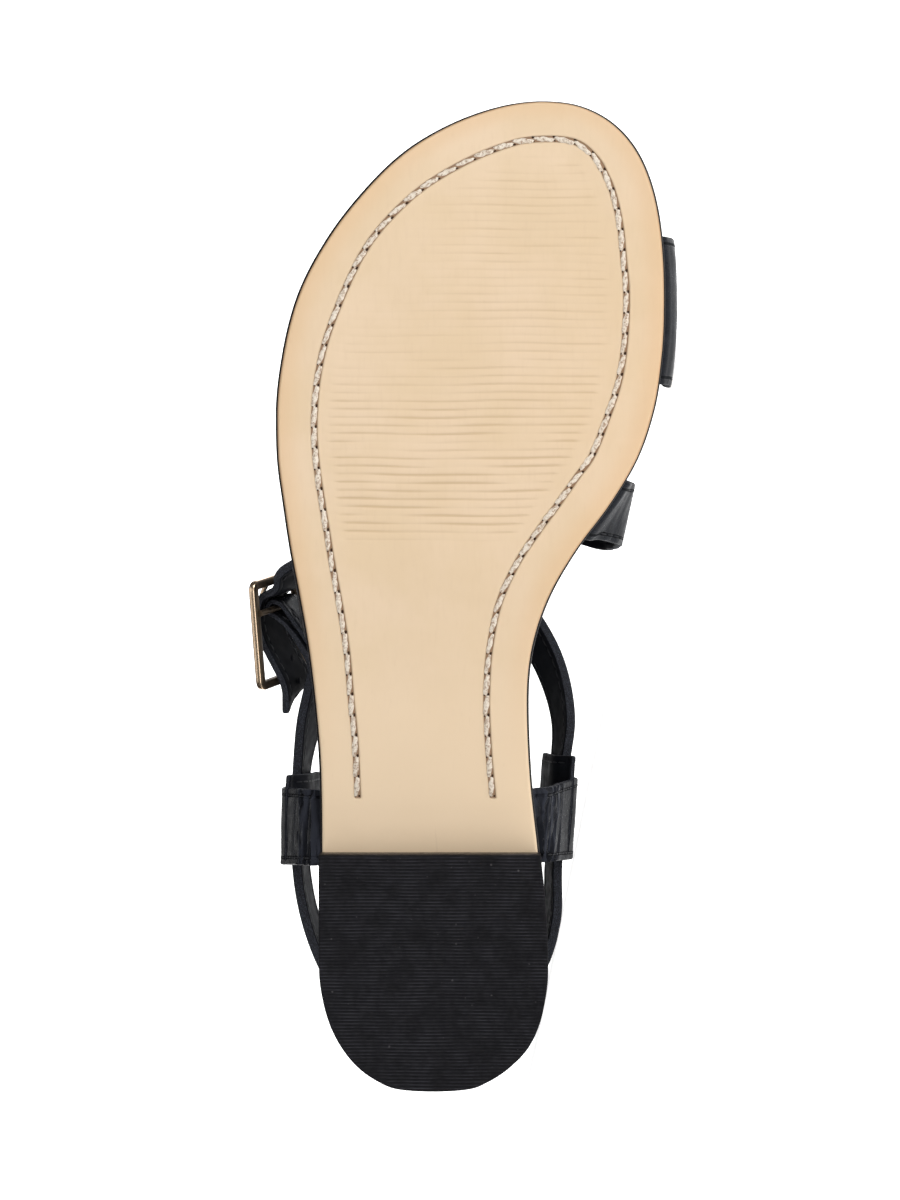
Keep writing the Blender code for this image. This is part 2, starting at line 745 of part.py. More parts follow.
def build_ankle_strap(surface):
    lines = curve_through(ankle_strap_rows(), 2)
    centres = np.array([line[:3] for line in lines])
    along = np.gradient(centres, axis=0)
    vertices = []
    for line, direction in zip(lines, along):
        tangent = Vector(direction).normalized()
        up = Vector(line[3:6])
        up = (up - tangent * up.dot(tangent)).normalized()
        outward = tangent.cross(up).normalized()
        half_width = line[7] / 2
        half = line[6] / 2
        chamfer = STRAP_CHAMFER * half
        section = (
            (half_width, half - chamfer),
            (half_width, chamfer - half),
            (half_width - chamfer, -half),
            (chamfer - half_width, -half),
            (-half_width, chamfer - half),
            (-half_width, half - chamfer),
            (chamfer - half_width, half),
            (half_width - chamfer, half),
        )
        sides = len(section)
        for up_by, out_by in section:
            vertices.append(Vector(line[:3]) + up * up_by + outward * out_by)
    faces = []
    for row in range(len(lines) - 1):
        for number in range(sides):
            following = (number + 1) % sides
            start, end = row * sides, (row + 1) * sides
            faces.append((start + number, start + following, end + following, end + number))
    faces.append(tuple(range(sides)))
    faces.append(tuple(range((len(lines) - 1) * sides, len(lines) * sides))[::-1])
    return add_object("ankle_strap", vertices, faces, surface)


def strap_face(side, height):
    """Distance from the shoe's middle line to the ankle strap's middle, at the side loops."""
    rows = [row for row in ANKLE_RING if row[0] == LOOP_STATION and (row[1] > 0) == (side == "medial")]
    place, strap_height, lean = rows[0][1:]
    return abs(place) - (height - strap_height) * math.tan(math.radians(lean))


def build_side_loop(side, surface):
    """Loop from the sole up round the ankle strap and down its inner face."""
    sign = 1.0 if side == "medial" else -1.0
    at_sole, at_strap, at_leaf = LOOP_STATIONS[side]
    rows = tab_rows(*STRAP_ENDS["loop_" + side], LOOP_COLUMNS)
    foot = abs(outline(LOOP_STATION, side)) + LOOP_WALL
    top = strap_face(side, LOOP_FOLD[0][1]) + LOOP_FOLD[0][0]

    def row_at(stations, place, height):
        ends = [
            Vector((station, sign * (place + LOOP_FLARE[side] * (station - LOOP_STATION)), height))
            for station in stations
        ]
        return straight_row(*ends, LOOP_COLUMNS)

    def between(first, second, share):
        return [start + (end - start) * share for start, end in zip(first, second)]

    base = LOOP_HEIGHTS[0] - LOOP_FOOT_RISE
    for height in LOOP_HEIGHTS:
        share = (height - base) / (LOOP_FOLD[0][1] - base)
        place = foot + (top - foot) * share ** LOOP_BULGE
        rows.append(row_at(between(at_sole, at_strap, share), place, height))
    for number, (outward_by, height) in enumerate(LOOP_FOLD):
        share = min(max((number - 1) / LEAF_TURN_ROWS, 0.0), 1.0)
        place = strap_face(side, height) + outward_by
        rows.append(row_at(between(at_strap, at_leaf, share), place, height))
    return band("side_loop_" + side, rows, BAND_STEPS, LOOP_THICKNESS, surface)


def build_buckle_frame(surface):
    """Rectangular frame with rounded corners, bevelled, and its round hinge bar."""
    half_length, half_height = FRAME_LENGTH / 2, FRAME_HEIGHT / 2
    half_depth = FRAME_BAR_DEPTH / 2
    bevel = FRAME_BEVEL
    rings = (
        # inward from the outer outline, outward from the frame's plane
        (0.0, half_depth - bevel),
        (bevel, half_depth),
        (FRAME_BAR_WIDTH - bevel, half_depth),
        (FRAME_BAR_WIDTH, half_depth - bevel),
        (FRAME_BAR_WIDTH, bevel - half_depth),
        (FRAME_BAR_WIDTH - bevel, -half_depth),
        (bevel, -half_depth),
        (0.0, bevel - half_depth),
    )
    outlines = []
    for sign_forward, sign_across, first_angle in ((1, 1, 0), (-1, 1, 90), (-1, -1, 180), (1, -1, 270)):
        for step in range(FRAME_CORNER_STEPS + 1):
            angle = math.radians(first_angle + 90.0 * step / FRAME_CORNER_STEPS)
            forward_by = sign_forward * (half_length - FRAME_CORNER)
            centre = (forward_by, sign_across * (half_height - FRAME_CORNER))
            outlines.append((centre, (math.cos(angle), math.sin(angle))))
    vertices = []
    for centre, direction in outlines:
        for inward, outward_by in rings:
            radius = FRAME_CORNER - inward
            forward_by = centre[0] + direction[0] * radius
            across_by = centre[1] + direction[1] * radius
            vertices.append(buckle_point(forward_by, across_by, outward_by))
    count, sides = len(outlines), len(rings)
    faces = []
    for index in range(count):
        for number in range(sides):
            start, end = index * sides, ((index + 1) % count) * sides
            following = (number + 1) % sides
            faces.append((start + number, start + following, end + following, end + number))
    frame = add_object("buckle_frame", vertices, faces, surface)
    reach = half_height - FRAME_BAR_WIDTH / 2
    bar = round_bar("hinge_bar", HINGE_BAR_STATION, -reach, reach, surface)
    join_into(frame, [bar])
    return frame, bar


def round_bar(name, station, start, end, surface):
    sides = HINGE_BAR_SIDES
    vertices = []
    for across_by in (start, end):
        for number in range(sides):
            angle = 2 * math.pi * number / sides
            forward_by = station + HINGE_BAR_RADIUS * math.cos(angle)
            outward_by = HINGE_BAR_RADIUS * math.sin(angle) - HINGE_BAR_DROP
            vertices.append(buckle_point(forward_by, across_by, outward_by))
    faces = []
    for number in range(sides):
        following = (number + 1) % sides
        faces.append((number, following, sides + following, sides + number))
    faces.append(tuple(range(sides))[::-1])
    faces.append(tuple(range(sides, 2 * sides)))
    return add_object(name, vertices, faces, surface)


def build_prong(surface):
    """Tapered pin over the strap, its tip resting on the frame's front bar."""
    sides = PRONG_SIDES
    lines = curve_through(PRONG_ROUTE, BAND_STEPS)
    vertices = []
    for index, (forward_by, outward_by) in enumerate(lines):
        before = lines[max(index - 1, 0)]
        after = lines[min(index + 1, len(lines) - 1)]
        slope = math.atan2(after[1] - before[1], after[0] - before[0])
        radius = PRONG_RADIUS * (1.0 - PRONG_TAPER * index / (len(lines) - 1))
        for number in range(sides):
            angle = 2 * math.pi * number / sides
            rise = radius * math.sin(angle)
            place = buckle_point(
                forward_by - rise * math.sin(slope),
                STRAP_PLACE + radius * math.cos(angle),
                outward_by + rise * math.cos(slope),
            )
            vertices.append(place)
    faces = []
    for row in range(len(lines) - 1):
        for number in range(sides):
            following = (number + 1) % sides
            start, end = row * sides, (row + 1) * sides
            faces.append((start + number, start + following, end + following, end + number))
    faces.append(tuple(range(sides))[::-1])
    faces.append(tuple(range((len(lines) - 1) * sides, len(lines) * sides)))
    return add_object("buckle_prong", vertices, faces, surface)


def prong_hole(surface):
    """Punched hole through the tail and the fold, over the hinge bar."""
    corners = []
    for outward_by in PRONG_HOLE_REACH:
        for forward_by, across_by in ((-1, -1), (1, -1), (1, 1), (-1, 1)):
            forward_by = HINGE_BAR_STATION + forward_by * PRONG_HOLE_HALF
            across_by = STRAP_PLACE + across_by * PRONG_HOLE_HALF
            corners.append(buckle_point(forward_by, across_by, outward_by))
    faces = [(0, 1, 2, 3), (4, 5, 6, 7), (0, 1, 5, 4), (1, 2, 6, 5), (2, 3, 7, 6), (3, 0, 4, 7)]
    return add_object("prong_hole", corners, faces, surface)


def resting_face(pieces):
    """Outward normal of the hull face on the inner side that the shoe lies lowest and steadily on."""
    graph = bpy.context.evaluated_depsgraph_get()
    hull = bmesh.new()
    weight = 0.0
    moment = Vector((0.0, 0.0, 0.0))
    for piece in pieces:
        shape = bmesh.new()
        shape.from_mesh(piece.evaluated_get(graph).to_mesh())
        bmesh.ops.triangulate(shape, faces=shape.faces)
        for face in shape.faces:
            first, second, third = (corner.co for corner in face.verts)
            volume = first.dot(second.cross(third)) / 6.0 * piece["density"]
            weight += volume
            moment += volume * (first + second + third) / 4.0
        for vertex in shape.verts:
            hull.verts.new(vertex.co)
        shape.free()
    centre = moment / weight
    made = bmesh.ops.convex_hull(hull, input=hull.verts)
    faces = [part for part in made["geom"] if isinstance(part, bmesh.types.BMFace)]
    bmesh.ops.triangulate(hull, faces=faces)
    down, lowest = None, math.inf
    for face in hull.faces:
        normal = face.normal.copy()
        if normal.dot(face.calc_center_median() - centre) < 0.0:
            normal.negate()
        if normal.y < INNER_SIDE_SHARE:
            continue
        drop = (face.verts[0].co - centre).dot(normal)
        foot = centre + normal * drop
        corners = [corner.co for corner in face.verts]
        edges = [(corners[index - 2], corners[index]) for index in range(3)]
        turns = [(end - start).cross(foot - start).dot(normal) for start, end in edges]
        if drop < lowest and (min(turns) >= 0.0 or max(turns) <= 0.0):
            down, lowest = normal, drop
    hull.free()
    return down


def lay_on_inner_side(pieces, guides):
    """Parent all pieces to one empty, turned so that the resting face lies on the floor."""
    down = resting_face(pieces)
    toe = (Vector((1.0, 0.0, 0.0)) - down * down.x).normalized()
    sideways = (-down).cross(toe)
    turn = Matrix((toe, sideways, -down)).to_4x4()
    graph = bpy.context.evaluated_depsgraph_get()
    corners = []
    for piece in pieces:
        mesh = piece.evaluated_get(graph).to_mesh()
        corners += [turn @ vertex.co for vertex in mesh.vertices]
    low = Vector([min(corner[axis] for corner in corners) for axis in range(3)])
    high = Vector([max(corner[axis] for corner in corners) for axis in range(3)])
    offset = Vector((-(low.x + high.x) / 2, -(low.y + high.y) / 2, -low.z))
    shoe = bpy.data.objects.new("shoe", None)
    bpy.context.scene.collection.objects.link(shoe)
    shoe.matrix_world = Matrix.Scale(MM, 4) @ Matrix.Translation(offset) @ turn
    for piece in pieces + guides:
        piece.parent = shoe


def main():
    for old in list(bpy.data.objects):
        bpy.data.objects.remove(old, do_unlink=True)
    tan = material("tan_leather", (0.80, 0.62, 0.42), 0.45)
    black = material("black_leather", (0.02, 0.02, 0.023), 0.3)
    edge = material("black_edge", (0.025, 0.02, 0.02), 0.4)
    rubber = material("black_rubber", (0.018, 0.017, 0.021), 0.65)
    gold = material("rose_gold", (0.80, 0.55, 0.42), 0.2, 1.0)

    outsole = sole_layer("outsole", OUTSOLE_INSET, tread, outsole_top, tan)
    midsole = sole_layer("midsole", 0.0, midsole_base, midsole_top, edge)
    insole = sole_layer("insole", INSOLE_INSET, insole_base, insole_top, black)
    guides = []
    for place, end in STRAP_ENDS.items():
        recess = tab_cutter("recess_" + place, *end, edge)
        notch = notch_cutter("notch_" + place, *end, edge)
        cut_with(midsole, recess)
        cut_with(insole, notch)
        guides += [recess, notch]
    slit = ring_slit_cutter("ring_slit", edge)
    cut_with(midsole, slit)
    cut_with(insole, slit)
    guides.append(slit)

    top_lift = heel_layer(
        "top_lift",
        TOP_LIFT_INSET,
        lambda station: 0.0,
        lambda station: TOP_LIFT_THICKNESS,
        rubber,
    )
    heel_block = heel_layer(
        "heel_block",
        HEEL_BLOCK_INSET,
        lambda station: TOP_LIFT_THICKNESS + GAP,
        lambda station: tread(station) - GAP,
        edge,
    )
    upper, joined = build_upper(black)
    loops = [build_side_loop(side, black) for side in ("medial", "lateral")]
    ankle_strap = build_ankle_strap(black)
    hole = prong_hole(black)
    cut_with(ankle_strap, hole)
    frame, bar = build_buckle_frame(gold)
    prong = build_prong(gold)

    guides += joined + [bar, hole]
    pieces = [outsole, midsole, insole, heel_block, top_lift, upper, *loops, ankle_strap, frame, prong]
    for piece in pieces:
        piece["density"] = DENSITY[PIECE_KIND.get(piece.name, "leather")]
    lay_on_inner_side(pieces, guides)


main()
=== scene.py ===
"""Toe ring sandal, right shoe: its leathers, stitching, buckle, heel and stage.

Every piece is made in millimetres in the shoe's own frame: X from the heel's back to the toe,
Y towards the inner (medial) side, Z up from the tread. SHOE lays that frame where the sandal lies.
"""

import json
import math
import random

import bmesh
import bpy
import numpy as np
from mathutils import Matrix, Vector, noise


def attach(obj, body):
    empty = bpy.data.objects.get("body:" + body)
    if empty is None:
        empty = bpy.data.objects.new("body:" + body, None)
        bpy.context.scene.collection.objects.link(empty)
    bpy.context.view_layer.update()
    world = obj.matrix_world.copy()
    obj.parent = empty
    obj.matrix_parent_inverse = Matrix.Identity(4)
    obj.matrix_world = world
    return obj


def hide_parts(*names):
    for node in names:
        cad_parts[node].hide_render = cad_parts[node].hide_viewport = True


bl_info = {
    "name": "Toe Ring Sandal",
    "version": (1, 0, 0),
    "blender": (4, 5, 0),
    "location": "3D View > Sidebar > Sandal",
    "description": "Makes the leathers, stitching, buckle and heel of a toe ring sandal",
    "category": "Add Mesh",
}

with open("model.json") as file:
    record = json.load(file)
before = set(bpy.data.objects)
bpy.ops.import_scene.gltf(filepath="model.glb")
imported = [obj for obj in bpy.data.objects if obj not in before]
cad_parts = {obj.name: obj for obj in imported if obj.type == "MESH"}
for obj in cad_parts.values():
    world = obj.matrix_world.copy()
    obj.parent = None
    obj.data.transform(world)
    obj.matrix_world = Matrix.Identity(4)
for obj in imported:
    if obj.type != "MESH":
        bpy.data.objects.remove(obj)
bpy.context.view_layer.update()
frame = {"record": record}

MM = 0.001
GAP = 0.3                    # clearance between neighbouring pieces

SHOE_LENGTH = 249.5          # heel's back to toe tip, along the tread
OUTSOLE_THICKNESS = 3.5
MIDSOLE_THICKNESS = 2.8
INSOLE_THICKNESS = 2.2
OUTSOLE_INSET = 0.6          # tan leather inside the black edge line
INSOLE_INSET = 0.8
ROUND_END = 14.0             # length of the outline's round ends, where cross lines lie closer
EDGE_START = 0.02            # first cross line of a layer, in from its round end
LEAST_STEP = 0.012           # between two cross lines
LEAST_THICKNESS = 0.3        # of a layer at its rounded edges
SLANT_STEP = 0.4             # to either side, where the slant of the sole edge is measured
FULL_RIM_WIDTH = 24.0        # a cross line shorter than this has its rim's columns closer together

HEEL_BREAST = 59.5           # station of the heel's straight front
TOP_LIFT_THICKNESS = 5.0
TOP_LIFT_INSET = 0.0
HEEL_BLOCK_INSET = 0.1

STRAP_THICKNESS = 1.8        # vamp straps and toe ring
TAB_LENGTH = 8.0             # strap end turned in under the insole
TAB_DROP = 0.9               # half the tab's thickness, below the midsole's top
VAMP_WALL = {"medial": 0.6, "lateral": -1.1}   # strap wall's middle outside the sole edge
VAMP_CLEARANCE = 0.2 + STRAP_THICKNESS / 2     # strap's middle over the foot form
VAMP_COLUMNS = 4
RING_COLUMNS = 7

LOOP_STATION = 66.0          # middle of both side loops
LOOP_THICKNESS = 1.5
LOOP_WALL = 0.4              # loop wall's middle outside the sole edge
ANKLE_STRAP_WIDTH = 14.0
ANKLE_STRAP_THICKNESS = 2.6  # two layers, edge stitched
FOLD_THICKNESS = 1.3         # the single layer folded round the buckle's hinge bar
TAIL_THICKNESS = 2.0
ANKLE_SPINE = (45.0, 80.0)   # stations that the ankle strap leans towards

FRAME_LENGTH = 29.0          # buckle frame along the strap
FRAME_HEIGHT = 25.0          # buckle frame across the strap
FRAME_BAR_WIDTH = 2.4
FRAME_BAR_DEPTH = 2.2
FRAME_CORNER = 2.6
HINGE_BAR_RADIUS = 0.8
HINGE_BAR_STATION = 6.0      # forward of the frame's centre
HINGE_BAR_DROP = 1.4         # inward of the frame's plane
PRONG_RADIUS = 0.8
PRONG_TAPER = 0.3


# Outline of the black-edged layer: station, lateral edge, medial edge
OUTLINE = (
    (0.0, 0.1, 0.1),
    (0.5, -8.3, 8.5),
    (2.5, -13.8, 14.0),
    (6.5, -19.3, 19.8),
    (10.5, -22.6, 23.6),
    (16.5, -25.8, 26.6),
    (22.6, -27.6, 28.1),
    (30.0, -28.6, 28.9),
    (45.0, -28.7, 28.4),
    (60.0, -28.7, 27.0),
    (80.0, -28.9, 24.9),
    (98.0, -30.2, 24.2),
    (113.0, -32.0, 25.8),
    (124.6, -34.0, 29.8),
    (135.8, -36.1, 36.3),
    (147.0, -37.8, 44.6),
    (158.4, -39.3, 51.4),
    (170.0, -39.6, 55.5),
    (184.7, -38.1, 57.9),
    (200.0, -34.2, 58.5),
    (214.8, -26.5, 57.8),
    (226.0, -18.0, 55.9),
    (237.3, -6.3, 51.3),
    (243.4, 3.9, 46.1),
    (247.1, 13.2, 40.3),
    (248.8, 20.0, 35.2),
    (249.5, 27.7, 27.7),
)

# Side profile: station, height of the outsole's underside above the floor
PROFILE = (
    (0.0, 14.6),
    (30.0, 13.6),
    (60.0, 12.6),
    (75.0, 10.6),
    (95.0, 6.2),
    (115.0, 2.2),
    (130.0, 0.3),
    (140.0, 0.0),
    (195.0, 0.0),
    (215.0, 0.8),
    (232.0, 2.9),
    (249.5, 6.2),
)

REACH_POWER = 0.85           # how square the foot form is across
RISE_POWER = 0.9             # and upwards
TUCK_ANGLE = 30.0            # below the widest line, down to the sole edge
TUCK_POWER = 1.6
# Foot form over the insole: station, widest lateral, widest medial, height of the widest line,
# crest's place across, crest's height above the insole
FOOT_FORM = (
    (105.0, -30.0, 36.0, 17.0, 3.0, 63.0),
    (120.0, -31.5, 38.5, 16.0, 6.0, 57.0),
    (135.0, -34.0, 45.3, 14.0, 9.0, 50.0),
    (153.0, -37.2, 49.3, 12.0, 12.0, 41.0),
    (170.0, -37.4, 55.0, 10.0, 13.0, 34.0),
    (195.0, -33.0, 58.8, 9.0, 20.0, 27.0),
    (215.0, -24.0, 57.5, 8.0, 25.0, 22.0),
)

# Strap edges on the foot form: rear station, rear angle, front station, front angle, lift.
# The angle runs from -30 at the inner sole edge over 90 at the crest to 210 at the outer sole edge.
LOWER_CROSS_STRAP = (
    (183.0, -18.0, 199.0, -18.0, 0.0),
    (181.0, 0.0, 199.0, 2.0, 0.0),
    (176.0, 24.0, 196.0, 30.0, 0.0),
    (168.0, 48.0, 188.0, 57.0, 0.0),
    (158.0, 74.0, 178.0, 84.0, 0.0),
    (146.0, 100.0, 166.0, 112.0, 0.0),
    (133.0, 128.0, 153.0, 140.0, 0.0),
    (121.0, 156.0, 140.0, 164.0, 0.0),
    (115.0, 180.0, 134.0, 184.0, 0.0),
    (113.5, 202.0, 132.5, 202.0, 0.0),
)
UPPER_CROSS_STRAP = (
    (138.6, -22.0, 153.2, -22.0, 0.0),
    (137.2, 0.0, 153.4, 0.0, 0.0),
    (136.2, 24.0, 154.6, 20.0, 0.0),
    (139.0, 50.0, 158.4, 42.0, 0.5),
    (145.5, 74.0, 165.0, 64.0, 1.3),
    (152.8, 96.0, 172.2, 86.0, 1.5),
    (160.0, 118.0, 179.2, 110.0, 1.3),
    (165.6, 142.0, 183.8, 136.0, 0.5),
    (168.5, 166.0, 186.5, 162.0, 0.0),
    (169.0, 184.0, 187.0, 184.0, 0.0),
    (169.0, 202.0, 187.0, 202.0, 0.0),
)
# Toe ring strap: rear station, front station, place across, height above the insole,
# share of the sole edge's curve that the row follows
TOE_RING = (
    (177.6, 215.0, 60.4, 1.0, 1.0),
    (177.4, 215.0, 60.9, 5.0, 1.0),
    (177.5, 214.8, 60.6, 9.5, 1.0),
    (179.6, 213.8, 58.3, 15.5, 0.8),
    (185.5, 212.5, 53.0, 21.5, 0.4),
    (190.0, 211.5, 45.0, 24.3, 0.0),
    (193.5, 211.0, 36.0, 22.5, 0.0),
    (195.5, 210.0, 29.5, 16.5, 0.0),
    (196.5, 209.5, 26.6, 9.0, 0.0),
    (197.0, 209.0, 26.0, 1.5, 0.0),
)
RING_SLIT_PLACE = 26.0
RING_SLIT = (196.7, 209.3)   # stations of the slit's two ends

# Ankle strap turning from the buckle to the instep: station, place across, height, direction across
FRONT_TURN = (
    (131.8, -34.8, 57.4, -0.02, 0.50, 0.87),
    (134.6, -25.2, 59.8, -0.30, 0.47, 0.83),
)
# Ankle strap's centre line away from the buckle: station, place across, height, lean to the inside
ANKLE_RING = (
    (136.2, -10.5, 62.9, 50.0),
    (134.0, 3.5, 65.4, 50.0),
    (127.5, 15.0, 66.3, 44.0),
    (117.5, 24.2, 66.4, 34.0),
    (105.5, 31.0, 66.3, 27.0),
    (92.0, 34.3, 66.2, 17.0),
    (79.0, 33.5, 66.2, 10.0),
    (LOOP_STATION, 32.6, 66.2, 8.0),
    (52.0, 31.7, 66.2, 8.0),
    (38.5, 31.3, 66.2, 9.0),
    (25.5, 27.0, 66.2, 10.0),
    (13.0, 18.0, 66.2, 11.0),
    (6.0, 4.5, 66.2, 12.0),
    (6.6, -9.0, 66.2, 12.0),
    (15.0, -21.0, 66.2, 11.0),
    (27.5, -28.4, 66.2, 10.0),
    (40.0, -33.0, 66.2, 9.0),
    (53.0, -35.2, 66.2, 8.0),
    (LOOP_STATION, -35.4, 66.2, 8.0),
    (79.0, -34.9, 65.8, 9.0),
    (90.0, -33.2, 63.6, 17.0),
    (99.5, -30.6, 60.9, 23.0),
)
# Strap's free end at the buckle, along its lower edge: forward, outward from the frame's plane,
# thickness, width, twist of the upper edge outward
TAIL_ROUTE = (
    (-21.6, -3.5, 1.8, 3.0, 24.0),
    (-20.2, -3.6, TAIL_THICKNESS, 6.5, 22.0),
    (-18.0, -3.7, TAIL_THICKNESS, 10.0, 15.0),
    (-15.6, -3.7, TAIL_THICKNESS, 13.0, 5.0),
    (-12.5, -2.9, TAIL_THICKNESS, ANKLE_STRAP_WIDTH, 0.0),
    (-8.0, -0.7, TAIL_THICKNESS, ANKLE_STRAP_WIDTH, 0.0),
    (-3.0, 1.7, TAIL_THICKNESS, ANKLE_STRAP_WIDTH, 0.0),
    (1.5, 2.8, TAIL_THICKNESS, ANKLE_STRAP_WIDTH, 0.0),
    (6.0, 2.7, TAIL_THICKNESS, ANKLE_STRAP_WIDTH, 0.0),
    (8.9, 1.5, TAIL_THICKNESS, ANKLE_STRAP_WIDTH, 0.0),
    (10.1, -0.4, TAIL_THICKNESS, ANKLE_STRAP_WIDTH, 0.0),
    (10.8, -2.3, TAIL_THICKNESS, ANKLE_STRAP_WIDTH, 0.0),
    (12.3, -3.6, TAIL_THICKNESS, ANKLE_STRAP_WIDTH, 0.0),
    (14.8, -4.1, 2.2, ANKLE_STRAP_WIDTH, 0.0),
)
# Strap's fold round the hinge bar: forward, outward from the frame's plane, thickness, width
FOLD_ROUTE = (
    (-9.0, -11.6, 2.4, 12.5),
    (-3.5, -8.6, 2.0, 11.5),
    (1.0, -5.2, 1.4, 10.8),
    (4.1, -1.4, FOLD_THICKNESS, 10.5),
    (4.66, -0.06, FOLD_THICKNESS, 10.5),
    (6.0, 0.5, FOLD_THICKNESS, 10.5),
    (7.34, -0.06, FOLD_THICKNESS, 10.5),
    (7.9, -1.4, FOLD_THICKNESS, 10.5),
    (7.4, -2.8, FOLD_THICKNESS, 10.5),
    (6.1, -4.2, FOLD_THICKNESS, 10.5),
    (3.0, -6.6, FOLD_THICKNESS, 10.8),
    (-1.0, -9.5, FOLD_THICKNESS, 11.2),
    (-5.0, -12.3, FOLD_THICKNESS, 11.2),
)
STRAP_PLACE = 1.5            # strap's and prong's middle, up from the frame's middle
BUCKLE_CENTRE = Vector((115.6, -41.2, 60.0))
BUCKLE_ACROSS = Vector((0.16, 0.44, 0.88)).normalized()
BUCKLE_FORWARD_HINT = Vector((1.0, -0.10, -0.20))

# Prong from the hinge bar up through the strap's hole to the front bar: forward, outward
PRONG_ROUTE = (
    (HINGE_BAR_STATION, -0.2),
    (5.95, 2.0),
    (6.15, 3.9),
    (7.5, 4.95),
    (9.6, 4.4),
    (11.6, 3.1),
    (13.6, 2.15),
)

LOOP_HEIGHTS = (22.5, 34.0, 47.0)   # rows of a side loop between the sole and the strap
LOOP_FOOT_RISE = 5.0                # its height gained between the sole and the first row
LOOP_BULGE = 0.9
# Side loop's fold round the ankle strap: distance outside the strap's middle, height
LOOP_FOLD = (
    (2.7, 57.0),
    (2.7, 66.0),
    (2.6, 73.0),
    (1.6, 76.4),
    (-0.2, 77.5),
    (-2.1, 76.4),
    (-3.05, 73.0),
    (-3.1, 66.0),
    (-3.0, 58.2),
    (-1.7, 54.4),
    (0.2, 51.8),
    (0.5, 49.3),
)
LEAF_TURN_ROWS = 5                  # rows over which the fold widens to the inner leaf
LEAF_LENGTH = 26.0
LOOP_FLARE = {"medial": 0.07, "lateral": -0.02}   # reach gained per mm forward
# Side loop's rear and front station: at the sole, at the strap, on the inner leaf
LOOP_STATIONS = {
    "medial": ((56.4, 75.4), (55.0, 76.5), (57.0, 82.5)),
    "lateral": ((55.6, 75.0), (53.6, 74.0), (55.0, 77.5)),
}

# Turned-in end of a strap: place in from the wall's middle, rise above the recess
TAB_TURNS = (
    (-TAB_LENGTH, 0.0),
    (-TAB_LENGTH / 2, 0.0),
    (-1.6, 0.0),
    (-0.5, 0.5),
    (0.0, 1.6),
)
# Where straps and loops enter the sole: rear station, front station, side, wall's middle
STRAP_ENDS = {
    "toe_ring": (*TOE_RING[0][:2], "medial", VAMP_WALL["medial"]),
    "upper_medial": (*UPPER_CROSS_STRAP[0][0:3:2], "medial", VAMP_WALL["medial"]),
    "upper_lateral": (*UPPER_CROSS_STRAP[-1][0:3:2], "lateral", VAMP_WALL["lateral"]),
    "lower_lateral": (*LOWER_CROSS_STRAP[-1][0:3:2], "lateral", VAMP_WALL["lateral"]),
    "loop_medial": (*LOOP_STATIONS["medial"][0], "medial", LOOP_WALL),
    "loop_lateral": (*LOOP_STATIONS["lateral"][0], "lateral", LOOP_WALL),
}

# Stitched channel, station and place: from the waist along the outer side to the toe, then back
# along the inner side
CHANNEL = {
    "lateral": (
        (73.4, -19.2), (87.5, -19.8), (98.5, -20.8), (110.3, -21.8), (120.6, -23.3), (131.6, -25.3),
        (142.6, -27.1), (157.1, -29.3), (168.4, -29.9), (181.7, -28.6), (194.7, -24.8), (211.8, -16.8),
        (224.3, -5.8), (232.3, 6.0), (237.5, 17.8), (239.2, 26.0),
    ),
    "medial": (
        (238.6, 35.3), (234.6, 40.6), (229.3, 43.6), (224.3, 45.4), (216.8, 46.9), (209.5, 47.6),
        (199.7, 48.4), (187.5, 47.9), (177.9, 46.4), (169.2, 43.6), (159.6, 39.8), (154.4, 36.1),
        (146.1, 30.3), (141.1, 26.6), (132.3, 20.8), (122.1, 16.3), (110.3, 14.0), (100.8, 13.4),
        (94.7, 13.4), (83.7, 14.0), (73.4, 15.0),
    ),
}
CHANNEL_STEP = 1.0                  # between the points of its even line
CHANNEL_REACH = 14.0                # distances to it are cut off here
PLAN_BATCH = 4000                   # points measured at a time
GROOVE_ASIDE = 0.12                 # of the channel's groove from the thread, to the inner side
THREAD_DEPTH = 0.15                 # sole stitches' middle, in from the tread
STITCH_OVERLAP = 0.26               # of each stitch with the next
# Needle holes beside each meeting of two stitches, as dark shapes of painted shade: place aside, half
# length, half width
NEEDLE_HOLES = ((0.5, 0.55, 0.3), (-0.42, 0.35, 0.2))
RIB_START = 137.0                   # where the grip ribs start to show
RIB_MARGIN = 3.2                    # between the channel and the ribs' ends
RIB_TROUGH = 0.32                   # half width of a trough
# Insole's hollows: station, place across, length, width, depth
BED_HOLLOWS = (
    (33.0, 0.0, 26.0, 20.0, 0.35),
    (170.0, 8.0, 26.0, 34.0, 0.35),
    (222.0, 38.0, 14.0, 11.0, 0.2),
)

# Columns of a strap's rounded edge, in from its side
STRAP_RIMS = (0.0, 0.1, 0.28, 0.55, 0.9, 1.35, 1.65, 1.95, 2.25, 2.6, 3.2)
STRAP_TIPS = (0.0, 0.12, 0.3, 0.6)  # rows at a strap's two ends
STRAP_FILL = 1.6                    # between the columns inside the rims
STRAP_STITCH_INSET = 1.95           # stitch lines, in from the straps' edges
STRAP_SEAM_REACH = 0.45             # half width of the furrow under a stitch line
STRAP_SEAM_DEPTH = 0.12
PLY_SEAM_DEPTH = 0.22               # of the line between two plies, in from the edge
STRAP_THREAD_RADIUS = 0.24
STITCH_HALF_GAP = 0.25              # half the gap between a strap's stitches
LINING_PICK = 1                     # a strap's second finish
CUT_EDGE_PICK = 2                   # and its third
FOLD_GATHER_LENGTH = 45.0           # ankle strap's creased stretch before the buckle
# Holes of the tail: forward, outward from the frame's plane
TAIL_HOLES = ((-14.0, -3.55), (-8.0, -2.0))
HOLE_RADIUS = 0.95

HEEL_TREAD = Vector((32.0, 0.0))    # station and place of the tread's two flat spots
FOREFOOT_TREAD = Vector((165.0, 8.0))

